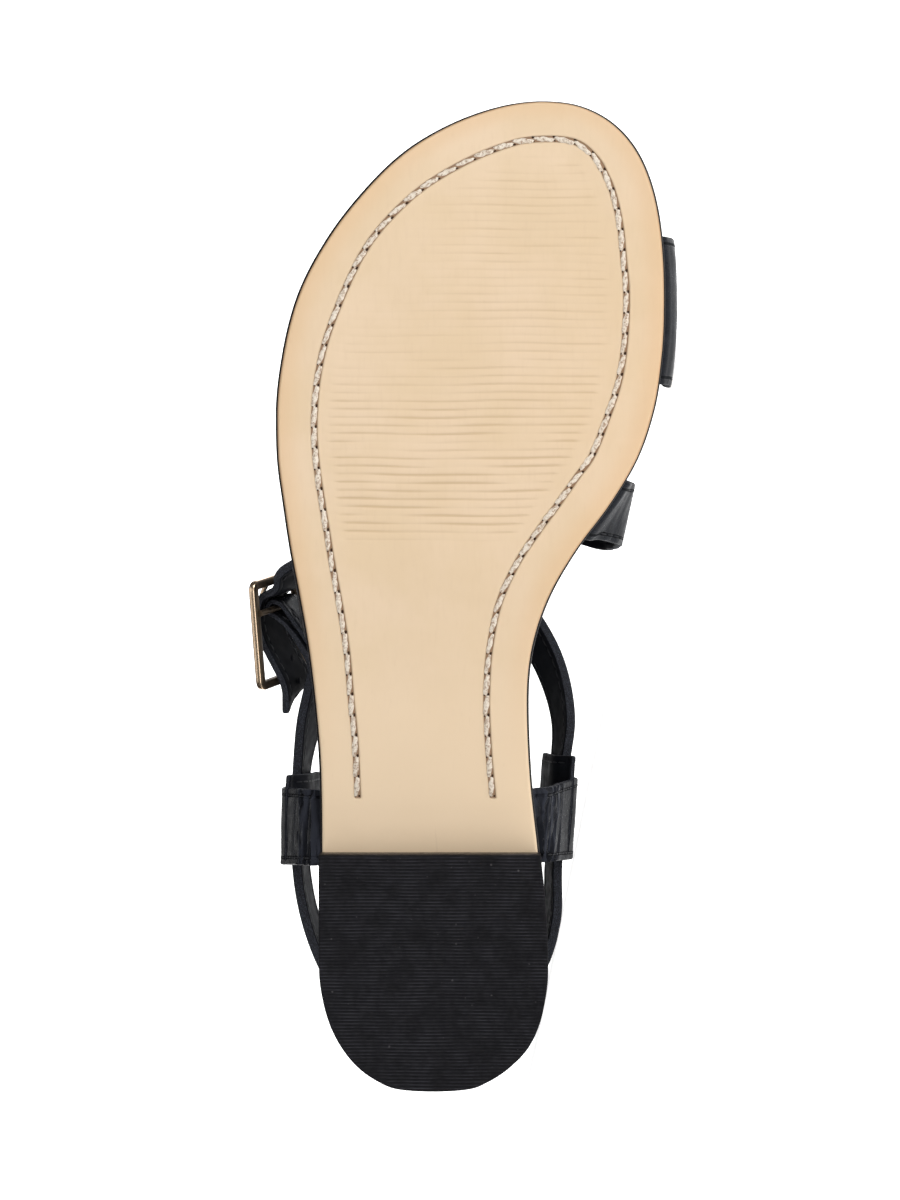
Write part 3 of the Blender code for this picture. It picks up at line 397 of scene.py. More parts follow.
VIEW_CENTRE = (123.3, 4.26, 0.0)    # what the camera looks at, in the shoe's frame
VIEW_HEIGHT = 300.75                # what the camera takes in at the tread, in mm
VIEW_DISTANCE = 1.12                # metres, as all of the stage's sizes
CAMERA_FLOOR = 0.003                # lowest camera height
CAMERA_SENSOR = 36.0                # mm
STAGE_FRONT = -2.4
STAGE_HALF_WIDTH = 2.6
SWEEP_START = 1.5                   # where the stage's floor curves up behind the shoe
SWEEP_RADIUS = 0.65
SWEEP_STEPS = 16
# Softboxes: name, place, width and height of the face, and what it aims at if not at the shoe
SOFTBOXES = (
    ("top", (-0.15, -0.35, 1.25), (1.1, 1.1), None),
    ("key", (1.15, -0.95, 0.55), (0.8, 0.8), None),
    ("front", (0.1, -1.55, 0.5), (1.2, 1.2), None),
    ("fill", (-0.55, -1.35, 0.2), (0.9, 0.9), None),
    ("rim", (0.0, 0.9, 0.56), (1.2, 0.16), None),
    ("wall", (0.0, 0.3, 1.3), (1.6, 1.6), (0.0, 1.3, 1.3)),
)


def limited_slopes(x, y):
    """Slopes for a smooth curve through a table that never overshoots a level stretch."""
    secants = np.diff(y) / np.diff(x)
    slopes = np.gradient(y, x)
    for index in range(1, len(x) - 1):
        before, after = secants[index - 1], secants[index]
        if before * after <= 0.0:
            slopes[index] = 0.0
        else:
            steepest = 3.0 * min(abs(before), abs(after))
            slopes[index] = float(np.clip(slopes[index], -steepest, steepest))
    return slopes


def curve_value(x, y, at):
    """Smooth value of the table y(x) at one place."""
    x = np.asarray(x, float)
    y = np.asarray(y, float)
    slopes = limited_slopes(x, y)
    at = float(np.clip(at, x[0], x[-1]))
    index = int(np.clip(np.searchsorted(x, at) - 1, 0, len(x) - 2))
    step = x[index + 1] - x[index]
    t = (at - x[index]) / step
    start = (1 + 2 * t) * (1 - t) ** 2 * y[index] + t * (1 - t) ** 2 * step * slopes[index]
    end = t * t * (3 - 2 * t) * y[index + 1] + t * t * (t - 1) * step * slopes[index + 1]
    return start + end


def column(table, number):
    return [row[number] for row in table]


def table_value(table, number, station):
    """Smooth value of a table's numbered column at a station."""
    return curve_value(column(table, 0), column(table, number), station)


def roundness(station):
    """Parameter along the shoe in which both round ends of the outline are smooth."""
    share = min(max(station / SHOE_LENGTH, 0.0), 1.0)
    return math.acos(1.0 - 2.0 * share) / math.pi


OUTLINE_PARAMETERS = [roundness(row[0]) for row in OUTLINE]
OUTLINE_COLUMN = {"lateral": 1, "medial": 2}


def outline(station, side, inset=0.0):
    """Sole edge at a station, moved in by inset all round."""
    stretched = (station - inset) * SHOE_LENGTH / (SHOE_LENGTH - 2.0 * inset)
    places = column(OUTLINE, OUTLINE_COLUMN[side])
    edge = curve_value(OUTLINE_PARAMETERS, places, roundness(stretched))
    return edge - inset if side == "medial" else edge + inset


def tread(station):
    return table_value(PROFILE, 1, station)


def outsole_top(station):
    return tread(station) + OUTSOLE_THICKNESS


def midsole_base(station):
    return outsole_top(station) + GAP


def midsole_top(station):
    return midsole_base(station) + MIDSOLE_THICKNESS


def insole_base(station):
    return midsole_top(station) + GAP


def insole_top(station):
    return insole_base(station) + INSOLE_THICKNESS


def curve_through(rows, steps):
    """Smooth resampling of rows of numbers, steps to each stretch (Catmull-Rom)."""
    points = [np.asarray(row, float) for row in rows]
    points = [2 * points[0] - points[1]] + points + [2 * points[-1] - points[-2]]
    result = []
    for index in range(1, len(points) - 2):
        before, start, end, after = points[index - 1:index + 3]
        slope = end - before
        bend = 2 * before - 5 * start + 4 * end - after
        twist = 3 * start - before - 3 * end + after
        for step in range(steps):
            t = step / steps
            result.append(0.5 * (2 * start + slope * t + bend * t * t + twist * t ** 3))
    result.append(points[-2])
    return result


def straight_row(rear, front, columns):
    """Points across a flat strap, from its rear edge to its front edge."""
    return [rear.lerp(front, number / (columns - 1)) for number in range(columns)]


def even_stations(rear, front, columns):
    """Stations across a strap, from its rear edge to its front edge."""
    return [rear + (front - rear) * number / (columns - 1) for number in range(columns)]


def foot_point(station, angle, lift):
    """Point on the foot form, lift outside it; see the angles above the strap tables."""
    lateral, medial, wide_height, crest_place, crest_height = (
        table_value(FOOT_FORM, number, station) for number in range(1, 6)
    )
    floor = insole_top(station)
    turned = math.radians(min(max(angle, 0.0), 180.0))
    side = medial if turned < math.pi / 2 else lateral
    reach = abs(math.cos(turned)) ** REACH_POWER
    rise = math.sin(turned) ** RISE_POWER
    place = crest_place + (side - crest_place) * reach
    height = floor + wide_height + (crest_height - wide_height) * rise
    outward = Vector((0.0, math.cos(turned), math.sin(turned)))
    below = max(-angle, angle - 180.0, 0.0) / TUCK_ANGLE
    if below > 0.0:
        edge_side, sign = ("medial", 1.0) if angle < 0.0 else ("lateral", -1.0)
        edge = outline(station, edge_side) + sign * (VAMP_WALL[edge_side] - VAMP_CLEARANCE)
        place = side + (edge - side) * below ** TUCK_POWER
        height = floor + wide_height * (1.0 - below)
    return Vector((station, place, height)) + outward * lift


def tab_rows(rear_station, front_station, side, wall_offset, columns):
    """Rows of a strap's turned-in end: in the midsole's recess, then up past the insole's edge."""
    sign = 1.0 if side == "medial" else -1.0
    rows = []
    for inward, rise in TAB_TURNS:
        row = []
        for station in even_stations(rear_station, front_station, columns):
            place = outline(station, side) + sign * (wall_offset + inward)
            row.append(Vector((station, place, midsole_top(station) - TAB_DROP + rise)))
        rows.append(row)
    return rows


def foot_rows(table, columns):
    """Rows of a vamp strap over the foot form."""
    rows = []
    for rear_station, rear_angle, front_station, front_angle, lift in table:
        rear = foot_point(rear_station, rear_angle, VAMP_CLEARANCE + lift)
        front = foot_point(front_station, front_angle, VAMP_CLEARANCE + lift)
        rows.append(straight_row(rear, front, columns))
    return rows


def toe_ring_rows():
    """Rows of the toe ring strap: from the medial sole edge over the toe into the insole's slit."""
    rows = tab_rows(*STRAP_ENDS["toe_ring"], RING_COLUMNS)
    for rear_station, front_station, place, rise, bow in TOE_RING:
        middle_edge = outline((rear_station + front_station) / 2, "medial")
        row = []
        for station in even_stations(rear_station, front_station, RING_COLUMNS):
            bowed = place + bow * (outline(station, "medial") - middle_edge)
            row.append(Vector((station, bowed, insole_top(station) + rise)))
        rows.append(row)
    foot = [
        Vector((station, RING_SLIT_PLACE, midsole_top(station) - 2 * TAB_DROP + GAP))
        for station in RING_SLIT
    ]
    rows.append(straight_row(*foot, RING_COLUMNS))
    return rows


def strap_end(name):
    return tab_rows(*STRAP_ENDS[name], VAMP_COLUMNS)


def buckle_axes():
    """Forward, across and outward directions of the buckle frame."""
    across = BUCKLE_ACROSS
    forward = (BUCKLE_FORWARD_HINT - across * BUCKLE_FORWARD_HINT.dot(across)).normalized()
    outward = forward.cross(across).normalized()
    return forward, across, outward


def buckle_point(forward_by, across_by, outward_by):
    forward, across, outward = buckle_axes()
    return BUCKLE_CENTRE + forward * forward_by + across * across_by + outward * outward_by


def ring_up(station, place, lean):
    """Direction across the ankle strap where it leans towards the ankle's axis."""
    spine = min(max(station, ANKLE_SPINE[0]), ANKLE_SPINE[1])
    inward = Vector((spine - station, -place, 0.0)).normalized()
    turned = math.radians(lean)
    return inward * math.sin(turned) + Vector((0.0, 0.0, math.cos(turned)))


def ankle_strap_rows():
    """Rows of the ankle strap from tail to fold: centre, direction across, thickness, width."""
    across, outward = buckle_axes()[1:]
    rows = []
    for forward_by, outward_by, thickness, width, twist in TAIL_ROUTE:
        turned = math.radians(twist)
        up = across * math.cos(turned) + outward * math.sin(turned)
        lower_edge = buckle_point(forward_by, STRAP_PLACE - ANKLE_STRAP_WIDTH / 2, outward_by)
        rows.append([*(lower_edge + up * (width / 2)), *up, thickness, width])
    for centre_and_direction in FRONT_TURN:
        rows.append([*centre_and_direction, ANKLE_STRAP_THICKNESS, ANKLE_STRAP_WIDTH])
    for station, place, height, lean in ANKLE_RING:
        up = ring_up(station, place, lean)
        rows.append([station, place, height, *up, ANKLE_STRAP_THICKNESS, ANKLE_STRAP_WIDTH])
    for forward_by, outward_by, thickness, width in FOLD_ROUTE:
        rows.append([*buckle_point(forward_by, STRAP_PLACE, outward_by), *across, thickness, width])
    return rows


def strap_face(side, height):
    """Distance from the shoe's middle line to the ankle strap's middle, at the side loops."""
    at_loops = [row for row in ANKLE_RING if row[0] == LOOP_STATION]
    place, strap_height, lean = at_loops[0 if side == "medial" else 1][1:]
    return abs(place) - (height - strap_height) * math.tan(math.radians(lean))


def shoe_matrix():
    """Where the shoe's own frame lies, from the two flat places on its tread."""
    mounts = {mount["name"]: mount for mount in frame["record"]["mounts"]}
    heel = Vector(mounts["heel_tread"]["pos_m"])
    span = Vector(mounts["forefoot_tread"]["pos_m"]) - heel
    up = -Vector(mounts["heel_tread"]["axis"]).normalized()
    span = (span - up * span.dot(up)).normalized()
    between = FOREFOOT_TREAD - HEEL_TREAD
    along = Matrix.Rotation(-math.atan2(between.y, between.x), 3, up) @ span
    across = up.cross(along)
    origin = heel - along * HEEL_TREAD.x * MM
    turn = Matrix((along, across, up)).transposed().to_4x4()
    return Matrix.Translation(origin) @ turn @ Matrix.Scale(MM, 4)


SHOE = shoe_matrix()
PLACE_VALUE = "shoe_place"          # each point's place in the shoe's frame, in mm


# ---------------------------------------------------------------- finishes


class Finish:
    """A material whose colour and relief are laid on in turn by short calls."""

    def __init__(self, name, colour, roughness, metallic=0.0, specular=0.5):
        self.material = bpy.data.materials.new(name)
        self.material.use_nodes = True
        self.nodes = self.material.node_tree.nodes
        self.links = self.material.node_tree.links
        self.shader = self.nodes["Principled BSDF"]
        self.set("Base Color", (*colour, 1.0))
        self.set("Roughness", roughness)
        self.set("Metallic", metallic)
        self.set("Specular IOR Level", specular)
        self.place = self.node("ShaderNodeAttribute", attribute_name=PLACE_VALUE).outputs["Vector"]
        self.colour = colour
        self.normal = None

    def set(self, socket, value):
        self.shader.inputs[socket].default_value = value

    def node(self, kind, inputs=None, **settings):
        """A node with its settings; each input is linked to an output or set to a plain value."""
        made = self.nodes.new(kind)
        for key, value in settings.items():
            setattr(made, key, value)
        for socket, value in (inputs or {}).items():
            if isinstance(value, bpy.types.NodeSocket):
                self.links.new(value, made.inputs[socket])
            elif value is not None:
                made.inputs[socket].default_value = value
        return made

    def place_along(self, axis):
        """Each point's place along one axis of the shoe's frame, in mm."""
        return self.node("ShaderNodeSeparateXYZ", {0: self.place}).outputs[axis]

    def stretched(self, scale, turn=(0.0, 0.0, 0.0)):
        inputs = {"Vector": self.place, "Scale": scale, "Rotation": turn}
        return self.node("ShaderNodeMapping", inputs).outputs["Vector"]

    def noise(self, scale, detail=3.0, roughness=0.55, vector=None, distortion=0.0):
        inputs = {"Vector": vector or self.place, "Scale": scale, "Detail": detail}
        inputs.update({"Roughness": roughness, "Distortion": distortion})
        return self.node("ShaderNodeTexNoise", inputs).outputs["Fac"]

    def cells(self, scale):
        inputs = {"Vector": self.place, "Scale": scale}
        return self.node("ShaderNodeTexVoronoi", inputs).outputs["Distance"]

    def attribute(self, name):
        return self.node("ShaderNodeAttribute", attribute_name=name).outputs["Fac"]

    def math(self, operation, first, second=None):
        return self.node("ShaderNodeMath", {0: first, 1: second}, operation=operation).outputs[0]

    def between(self, value, low, high, to_low=0.0, to_high=1.0):
        """Smooth step of a value from one range to another."""
        inputs = {"Value": value, "From Min": low, "From Max": high}
        inputs.update({"To Min": to_low, "To Max": to_high})
        made = self.node("ShaderNodeMapRange", inputs, interpolation_type="SMOOTHSTEP")
        return made.outputs["Result"]

    def gloss(self, value, smoothest, roughest):
        """Roughness that follows a noise from one limit to the other."""
        return self.between(value, 0.3, 0.7, smoothest, roughest)

    def mix(self, share, first, second):
        """Makes the finish's colour a mix of two."""
        inputs = {"Factor": share}
        for socket, value in ((6, first), (7, second)):
            inputs[socket] = value if isinstance(value, bpy.types.NodeSocket) else (*value, 1.0)
        self.colour = self.node("ShaderNodeMix", inputs, data_type="RGBA").outputs[2]

    def lay(self, colour, share):
        """Lays a colour over the one that is there."""
        self.mix(share, self.colour, colour)

    def tint(self, colour, value, low, high, most=1.0):
        """Lays a colour on more and more as a value goes from low to high."""
        self.lay(colour, self.between(value, low, high, 0.0, most))

    def bump(self, height, strength, depth_mm):
        """Lays relief over the relief that is there."""
        inputs = {"Height": height, "Strength": strength, "Distance": depth_mm * MM}
        inputs["Normal"] = self.normal
        self.normal = self.node("ShaderNodeBump", inputs).outputs["Normal"]

    def finish(self, roughness=None):
        """Links what was laid on to the shader, and gives the material."""
        linked = {"Base Color": self.colour, "Roughness": roughness, "Normal": self.normal}
        for socket, value in linked.items():
            if isinstance(value, bpy.types.NodeSocket):
                self.links.new(value, self.shader.inputs[socket])
        return self.material


def colours():
    return bpy.context.scene.sandal_colours


def sizes():
    return bpy.context.scene.sandal_sizes


def sized(name):
    """A length setting in millimetres."""
    return getattr(sizes(), name) / MM


def kept(maker):
    """A finish made once and shared by the pieces that have it."""
    name = maker.__name__ + "_finish"
    return bpy.data.materials.get(name) or maker(name)


def tinted(tone, *scales):
    """A colour with its red, green and blue each scaled, and kept within full strength."""
    return tuple(min(value * scale, 1.0) for value, scale in zip(tone, scales))


def tan_leather(name):
    """Vegetable-tanned sole leather: warm edges, cloudy middle, fibres along the sole, painted light
    towards the heel, painted shade in the rib troughs and the channel's groove, and a painted
    highlight beside the channel.
    """
    tone = Vector(colours().tan)
    made = Finish(name, tone, 0.5, specular=0.3)
    dull = tinted(tone, 0.9, 0.87, 0.86)
    pale = tinted(tone, 1.05, 1.06, 1.12)
    painted_heel_light = tinted(tone, 1.13, 1.15, 1.2)
    made.tint(pale, made.noise(0.035, 4.0, 0.6), 0.35, 0.68)
    fibres = made.noise(0.9, 5.0, 0.65, made.stretched((0.16, 1.0, 1.0), (0.0, 0.0, 0.12)))
    made.tint(dull, fibres, 0.45, 0.8, 0.22)
    edge = made.attribute("edge")
    made.tint(tinted(tone, 1.0, 0.86, 0.72), edge, 7.0, 0.5, 0.45)
    made.tint(tinted(tone, 0.62, 0.45, 0.33), edge, 0.55, 0.1, 0.6)
    station = made.place_along("X")
    # painted light: the tan is made paler towards the heel breast, standing in for light where the
    # heel block casts its shade
    made.tint(painted_heel_light, station, 135.0, 75.0, 0.9)
    made.tint(tinted(painted_heel_light, 1.12, 1.12, 1.12), station, 71.0, 59.0, 0.8)
    # painted shade: the grip ribs' troughs are darkened
    made.tint(tinted(tone, 0.76, 0.71, 0.64), made.attribute("rib"), 0.05, 0.95, 0.66)
    channel = made.math("ABSOLUTE", made.attribute("channel"))
    first_hole = CHANNEL["lateral"][0][0]
    sewn = made.between(station, first_hole - 0.7, first_hole)
    # painted highlight on the raised leather beside the channel
    painted_lip_highlight = made.between(channel, 1.9, 1.0, 0.0, 0.35)
    made.lay(pale, made.math("MULTIPLY", painted_lip_highlight, sewn))
    # painted shade in the channel's groove, beside the thread
    groove = made.between(channel, 0.9, 0.72, 0.0, 0.82)
    made.lay(tinted(tone, 0.25, 0.15, 0.09), made.math("MULTIPLY", groove, sewn))
    scuffs = made.noise(0.5, 3.0, 0.7, made.stretched((0.08, 1.4, 1.0), (0.0, 0.0, 0.7)), 0.6)
    made.tint(dull, scuffs, 0.64, 0.74, 0.14)
    made.bump(made.noise(2.6, 4.0, 0.7), 0.35, 0.05)
    made.bump(made.between(made.cells(1.9), 0.0, 0.28), 0.2, 0.03)
    unsewn = made.math("SUBTRACT", 1.0, sewn)
    made.bump(made.math("MAXIMUM", made.between(channel, 0.6, 1.15), unsewn), 1.0, 0.3)
    return made.finish(made.gloss(made.noise(0.12, 3.0), 0.42, 0.6))


def glazed_leather(name, specular, gathered=False):
    """Glazed black leather with soft folds and a pressed line under its stitches, painted shade along
    that line and, when gathered, painted highlights on the wrinkles' crests.
    """
    tone = Vector(colours().black)
    made = Finish(name, tone, 0.3, specular=specular)
    made.set("Specular Tint", (0.82, 0.9, 1.0, 1.0))
    made.tint(tone * 1.7, made.noise(0.22, 4.0, 0.6), 0.45, 0.75)
    edge = made.attribute("edge")
    made.tint(tone * 0.55, edge, 0.5, 0.0, 0.7)
    from_seam = made.math("ABSOLUTE", made.math("SUBTRACT", edge, STRAP_STITCH_INSET))
    # painted shade in the pressed furrow under the stitch line
    made.tint(tone * 0.2, from_seam, 0.5, 0.2, 0.9)
    made.bump(made.noise(0.16, 2.0, 0.5, distortion=0.5), 0.2, 0.8)
    pucker = made.math("MULTIPLY", made.noise(0.9, 2.0, 0.5), made.between(edge, 2.1, 1.4))
    made.bump(pucker, 0.5, 0.25)
    made.bump(made.between(from_seam, 0.15, 0.6), 1.0, 0.22)
    made.bump(made.noise(2.4, 4.0, 0.6), 0.2, 0.025)
    if gathered:
        wrinkles = made.noise(1.0, 1.5, 0.5, made.stretched((0.03, 0.03, 0.34)), 0.3)
        near_sole = made.between(made.place_along("Z"), 44.0, 34.0)
        crest = made.math("MULTIPLY", made.between(wrinkles, 0.42, 0.6), near_sole)
        # painted highlight on the wrinkles' crests near the sole
        made.lay(tone * 3.4, crest)
        made.bump(crest, 1.0, 0.7)
    shine = made.gloss(made.noise(0.4, 3.0, 0.6), 0.22, 0.34)
    matt_seam = made.between(from_seam, 0.5, 0.2, 0.0, 0.4)
    return made.finish(made.math("ADD", shine, matt_seam))


def black_leather(name):
    return glazed_leather(name, 0.17)


def loop_leather(name):
    return glazed_leather(name, 0.02, True)


def cut_edge(name):
    """Rough, fibrous cut edge of the black straps."""
    tone = Vector(colours().black)
    made = Finish(name, tone * 2.6, 0.75, specular=0.3)
    fibres = made.noise(3.2, 5.0, 0.75)
    made.mix(made.between(fibres, 0.42, 0.68), tone * 1.2, tone * 7.0)
    made.bump(made.noise(2.2, 5.0, 0.8), 0.8, 0.3)
    return made.finish(made.gloss(fibres, 0.6, 0.85))


def lining_leather(name):
    """Satin dark lining on the straps' inner faces and on the insole."""
    tone = Vector(colours().black)
    made = Finish(name, tone, 0.55, specular=0.03)
    made.mix(made.between(made.noise(0.09, 4.0, 0.6), 0.35, 0.7), tone * 0.8, tone * 1.4)
    made.bump(made.noise(1.6, 5.0, 0.7), 0.4, 0.07)
    made.bump(made.between(made.cells(1.3), 0.0, 0.35), 0.2, 0.04)
    return made.finish(made.gloss(made.noise(0.3, 3.0), 0.45, 0.6))


def edge_paint(name):
    """Burnished black edge of the sole's layers."""
    tone = Vector(colours().edge)
    made = Finish(name, tone, 0.33, specular=0.25)
    streaks = made.noise(0.8, 4.0, 0.6, made.stretched((0.3, 0.3, 3.0)))
    made.tint(tinted(tone, 2.0, 1.75, 1.6), streaks, 0.4, 0.75)
    made.bump(streaks, 0.4, 0.06)
    return made.finish(made.gloss(streaks, 0.26, 0.42))


def heel_rubber(name):
    """Matt black rubber with a patchy painted highlight along its ribs and a few pale specks."""
    tone = Vector(colours().rubber)
    made = Finish(name, tone, 0.6, specular=0.12)
    made.tint(tone * 1.5, made.noise(0.2, 4.0, 0.7), 0.4, 0.7)
    patchy = made.between(made.noise(0.12, 4.0, 0.7), 0.35, 0.7)
    ridge = made.math("MULTIPLY", made.between(made.attribute("ridge"), 0.6, 1.0), patchy)
    # painted highlight along the ribs' ridges, in patches
    made.lay((0.045, 0.045, 0.055), made.math("MULTIPLY", ridge, 0.7))
    some = made.between(made.noise(0.3, 2.0), 0.55, 0.65)
    specks = made.math("MULTIPLY", made.between(made.cells(0.42), 0.14, 0.09), some)
    made.lay((0.2, 0.19, 0.2), made.math("MULTIPLY", specks, 0.25))
    made.bump(made.noise(2.0, 5.0, 0.7), 0.5, 0.07)
    return made.finish(made.gloss(made.noise(0.6, 3.0), 0.5, 0.72))


def waxed_thread(name, tone, dark):
    """Twisted waxed thread."""
    made = Finish(name, tone, 0.5, specular=0.35)
    fibre = made.noise(1.5, 4.0, 0.75)
    made.tint(dark, fibre, 0.44, 0.66, 0.85)
    made.bump(made.noise(5.0, 3.0, 0.6), 0.4, 0.05)
    return made.finish(made.gloss(fibre, 0.45, 0.65))


def cream_thread(name):
    return waxed_thread(name, Vector(colours().thread), (0.3, 0.17, 0.09))


def black_thread(name):
    tone = Vector(colours().black)
    return waxed_thread(name, tone * 1.6, tone * 0.7)


def needle_hole(name):
    """Painted shade: the dark inside of the holes between the sole's stitches."""
    made = Finish(name, (0.035, 0.016, 0.009), 0.8, specular=0.2)
    made.mix(made.noise(3.0, 2.0), (0.02, 0.01, 0.006), (0.06, 0.028, 0.015))
    return made.finish(made.gloss(made.noise(2.0), 0.7, 0.9))


def shaded_metal(name):
    """Darkened copy of the rose gold plate: painted shade and dark reflection on the bars' inner and
    under faces and on the hinge bar under the strap's fold.
    """
    tone = Vector(colours().metal) * 0.16
    made = Finish(name, tone, 0.5, metallic=1.0)
    haze = made.noise(0.8, 4.0, 0.65)
    made.mix(haze, tone * 0.5, tone * 1.3)
    return made.finish(made.gloss(haze, 0.4, 0.6))


def rose_gold(name):
    """Polished rose gold plate with fine handling marks."""
    tone = Vector(colours().metal)
    made = Finish(name, tone, 0.12, metallic=1.0)
    haze = made.noise(0.5, 4.0, 0.65)
    made.tint(tone * 0.86, haze, 0.4, 0.75)
    marks = made.noise(3.0, 3.0, 0.7, made.stretched((0.2, 2.0, 2.0), (0.3, 0.2, 0.6)))
    made.bump(marks, 0.12, 0.015)
    return made.finish(made.gloss(haze, 0.2, 0.3))


# ---------------------------------------------------------------- shapes


def add_piece(name, vertices, faces, finishes, slot, replaced=(), smooth_angle=40.0,
              values=None, picks=None):
    """A mesh from points in the shoe's frame, with per-point values for its finishes."""
    mesh = bpy.data.meshes.new(name)
    points = np.asarray(vertices, float)
    turned = np.array(SHOE)
    mesh.from_pydata((points @ turned[:3, :3].T + turned[:3, 3]).tolist(), [], faces)
    if mesh.validate():
        raise RuntimeError(name + " has faces that cannot be kept")
    layer = mesh.attributes.new(PLACE_VALUE, "FLOAT_VECTOR", "POINT")
    layer.data.foreach_set("vector", points.astype(np.float32).ravel())
    for key, data in (values or {}).items():
        layer = mesh.attributes.new(key, "FLOAT", "POINT")
        layer.data.foreach_set("value", np.asarray(data, np.float32))
    for finish in finishes:
        mesh.materials.append(kept(finish))
    if picks is not None:
        mesh.polygons.foreach_set("material_index", np.asarray(picks, np.int32))
    shape = bmesh.new()
    shape.from_mesh(mesh)
    bmesh.ops.recalc_face_normals(shape, faces=shape.faces)
    shape.to_mesh(mesh)
    shape.free()
    mesh.shade_smooth()
    mesh.set_sharp_from_angle(angle=math.radians(smooth_angle))
    piece = placed(name, mesh)
    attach(piece, "root")
    if replaced:
        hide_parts(*replaced)
    return piece


def placed(name, data):
    """A new object in the scene."""
    thing = bpy.data.objects.new(name, data)
    bpy.context.scene.collection.objects.link(thing)
    return thing


def join_shapes(shapes):
    """Many small shapes as one list of points and faces."""
    vertices, faces = [], []
    for points, quads in shapes:
        first = len(vertices)
        vertices += [tuple(point) for point in points]
        faces += [tuple(first + number for number in quad) for quad in quads]
    return vertices, faces


def grid_faces(rows, columns, first=0, closed=False):
    """Quads of a grid of points, row by row; closed joins the last column to the first."""
    faces = []
    for row in range(rows - 1):
        here, there = first + row * columns, first + (row + 1) * columns
        for number in range(columns if closed else columns - 1):
            following = (number + 1) % columns
            faces.append((here + number, here + following, there + following, there + number))
    return faces


def smooth_noise(point, scale, seed=0.0):
    return noise.noise(Vector(point) * scale + Vector((seed, seed * 1.7, -seed)))


def ripple(x, y, z):
    return noise.noise(Vector((x, y, z)))


def ramp(value, start, length):
    """Rises evenly from 0 to 1 over a length."""
    return np.clip((value - start) / length, 0.0, 1.0)


def unit(vectors):
    """The same directions with length one."""
    return vectors / np.maximum(np.linalg.norm(vectors, axis=-1, keepdims=True), 1e-9)


def distances_along(points):
    """Distance of each point from the start of its line."""
    steps = np.linalg.norm(np.diff(points, axis=0), axis=1)
    return np.concatenate([[0.0], np.cumsum(steps)])


def points_at(at, known, points):
    """Points of a line at given distances, where the distances of its own points are known."""
    columns = [np.interp(at, known, points[:, axis]) for axis in range(points.shape[1])]
    return np.stack(columns, axis=-1)


def edge_columns(left, right, rims, fill):
    """Places across at fixed distances in from both edges, evenly filled between."""
    rising, falling = left + rims, (right - rims)[::-1]
    middle = np.linspace(rising[-1], falling[0], fill + 2)[1:-1]
    return np.concatenate([rising, middle, falling])


def round_drop(distance, radius):
    """How far a rounded edge lies below its face."""
    inside = np.clip(radius - np.asarray(distance), 0.0, radius)
    return radius - np.sqrt(np.maximum(radius * radius - inside * inside, 0.0))


def edge_slant(station, side, inset):
    """Length along the sole edge per mm of station."""
    low = max(station - SLANT_STEP, inset)
    high = min(station + SLANT_STEP, SHOE_LENGTH - inset)
    rise = (outline(high, side, inset) - outline(low, side, inset)) / (high - low)
    return math.hypot(1.0, rise)


def sole_piece(name, stations, rims, fill, inset, bottom, top, rounding, finishes, slot, replaced,
               relief=None, front=None, values=None, under_only=False, over_relief=None):
    """A layer of the sole as a fine closed mesh; relief shapes its under face, over_relief its top.

    With under_only the first finish is on the under face alone and the second on all the rest.
    """
    plan, distances = [], []
    for station in stations:
        lateral, medial = (outline(station, side, inset) for side in ("lateral", "medial"))
        squeezed = np.array(rims) * min(1.0, (medial - lateral) / FULL_RIM_WIDTH)
        places = edge_columns(lateral, medial, squeezed, fill)
        slant = [edge_slant(station, side, inset) for side in ("lateral", "medial")]
        ends = min(station - inset, (front or SHOE_LENGTH - inset) - station)
        near = np.minimum((places - lateral) / slant[0], (medial - places) / slant[1])
        plan.append([(station, place) for place in places])
        distances.append(np.clip(near, 0.0, max(ends, 0.0)))
    plan, distances = np.array(plan), np.array(distances)
    low = np.array([bottom(station) for station in stations])[:, None]
    high = np.array([top(station) for station in stations])[:, None]
    under = low + round_drop(distances, rounding[0])
    over = high - round_drop(distances, rounding[1])
    if relief:
        under = under + relief(plan, distances)
    if over_relief:
        over = over + over_relief(plan, distances)
    over = np.maximum(over, under + LEAST_THICKNESS)
    vertices = [
        np.concatenate([plan, face[:, :, None]], axis=2).reshape(-1, 3) for face in (under, over)
    ]
    count, columns = distances.shape
    size = count * columns
    faces = [face[::-1] for face in grid_faces(count, columns)] + grid_faces(count, columns, size)
    rim = [row * columns for row in range(count)]
    rim += [(count - 1) * columns + number for number in range(1, columns)]
    rim += [row * columns + columns - 1 for row in range(count - 2, -1, -1)]
    rim += list(range(columns - 2, 0, -1))
    for here, there in zip(rim, rim[1:] + rim[:1]):
        faces.append((here, here + size, there + size, there))
    picks = None
    if under_only:
        picks = np.ones(len(faces), np.int32)
        picks[:(count - 1) * (columns - 1)] = 0
    made_values = {"edge": np.tile(distances.reshape(-1), 2)}
    for key, maker in (values or {}).items():
        made_values[key] = np.tile(maker(plan.reshape(-1, 2)), 2)
    vertices = np.concatenate(vertices)
    return add_piece(name, vertices, faces, finishes, slot, replaced, 50.0, made_values, picks)


def station_list(first, last, bands, toe=True, ends=26):
    """Stations with even spacing in bands, closer together towards the outline's round ends."""
    values = [first, last]
    for low, high, spacing in bands:
        values += list(np.linspace(low, high, int(round((high - low) / spacing)) + 1))
    shares = np.linspace(roundness(first), roundness(ROUND_END), ends)
    rear = SHOE_LENGTH * (1.0 - np.cos(math.pi * shares)) / 2.0
    values += list(rear)
    if toe:
        values += list(SHOE_LENGTH - rear)
    chosen = [first]
    for value in sorted(values):
        if value - chosen[-1] > LEAST_STEP and value <= last:
            chosen.append(float(value))
    return chosen


def layer_stations(inset, bands):
    """Stations along the whole of a layer of the sole."""
    return station_list(inset + EDGE_START, SHOE_LENGTH - inset - EDGE_START, bands)


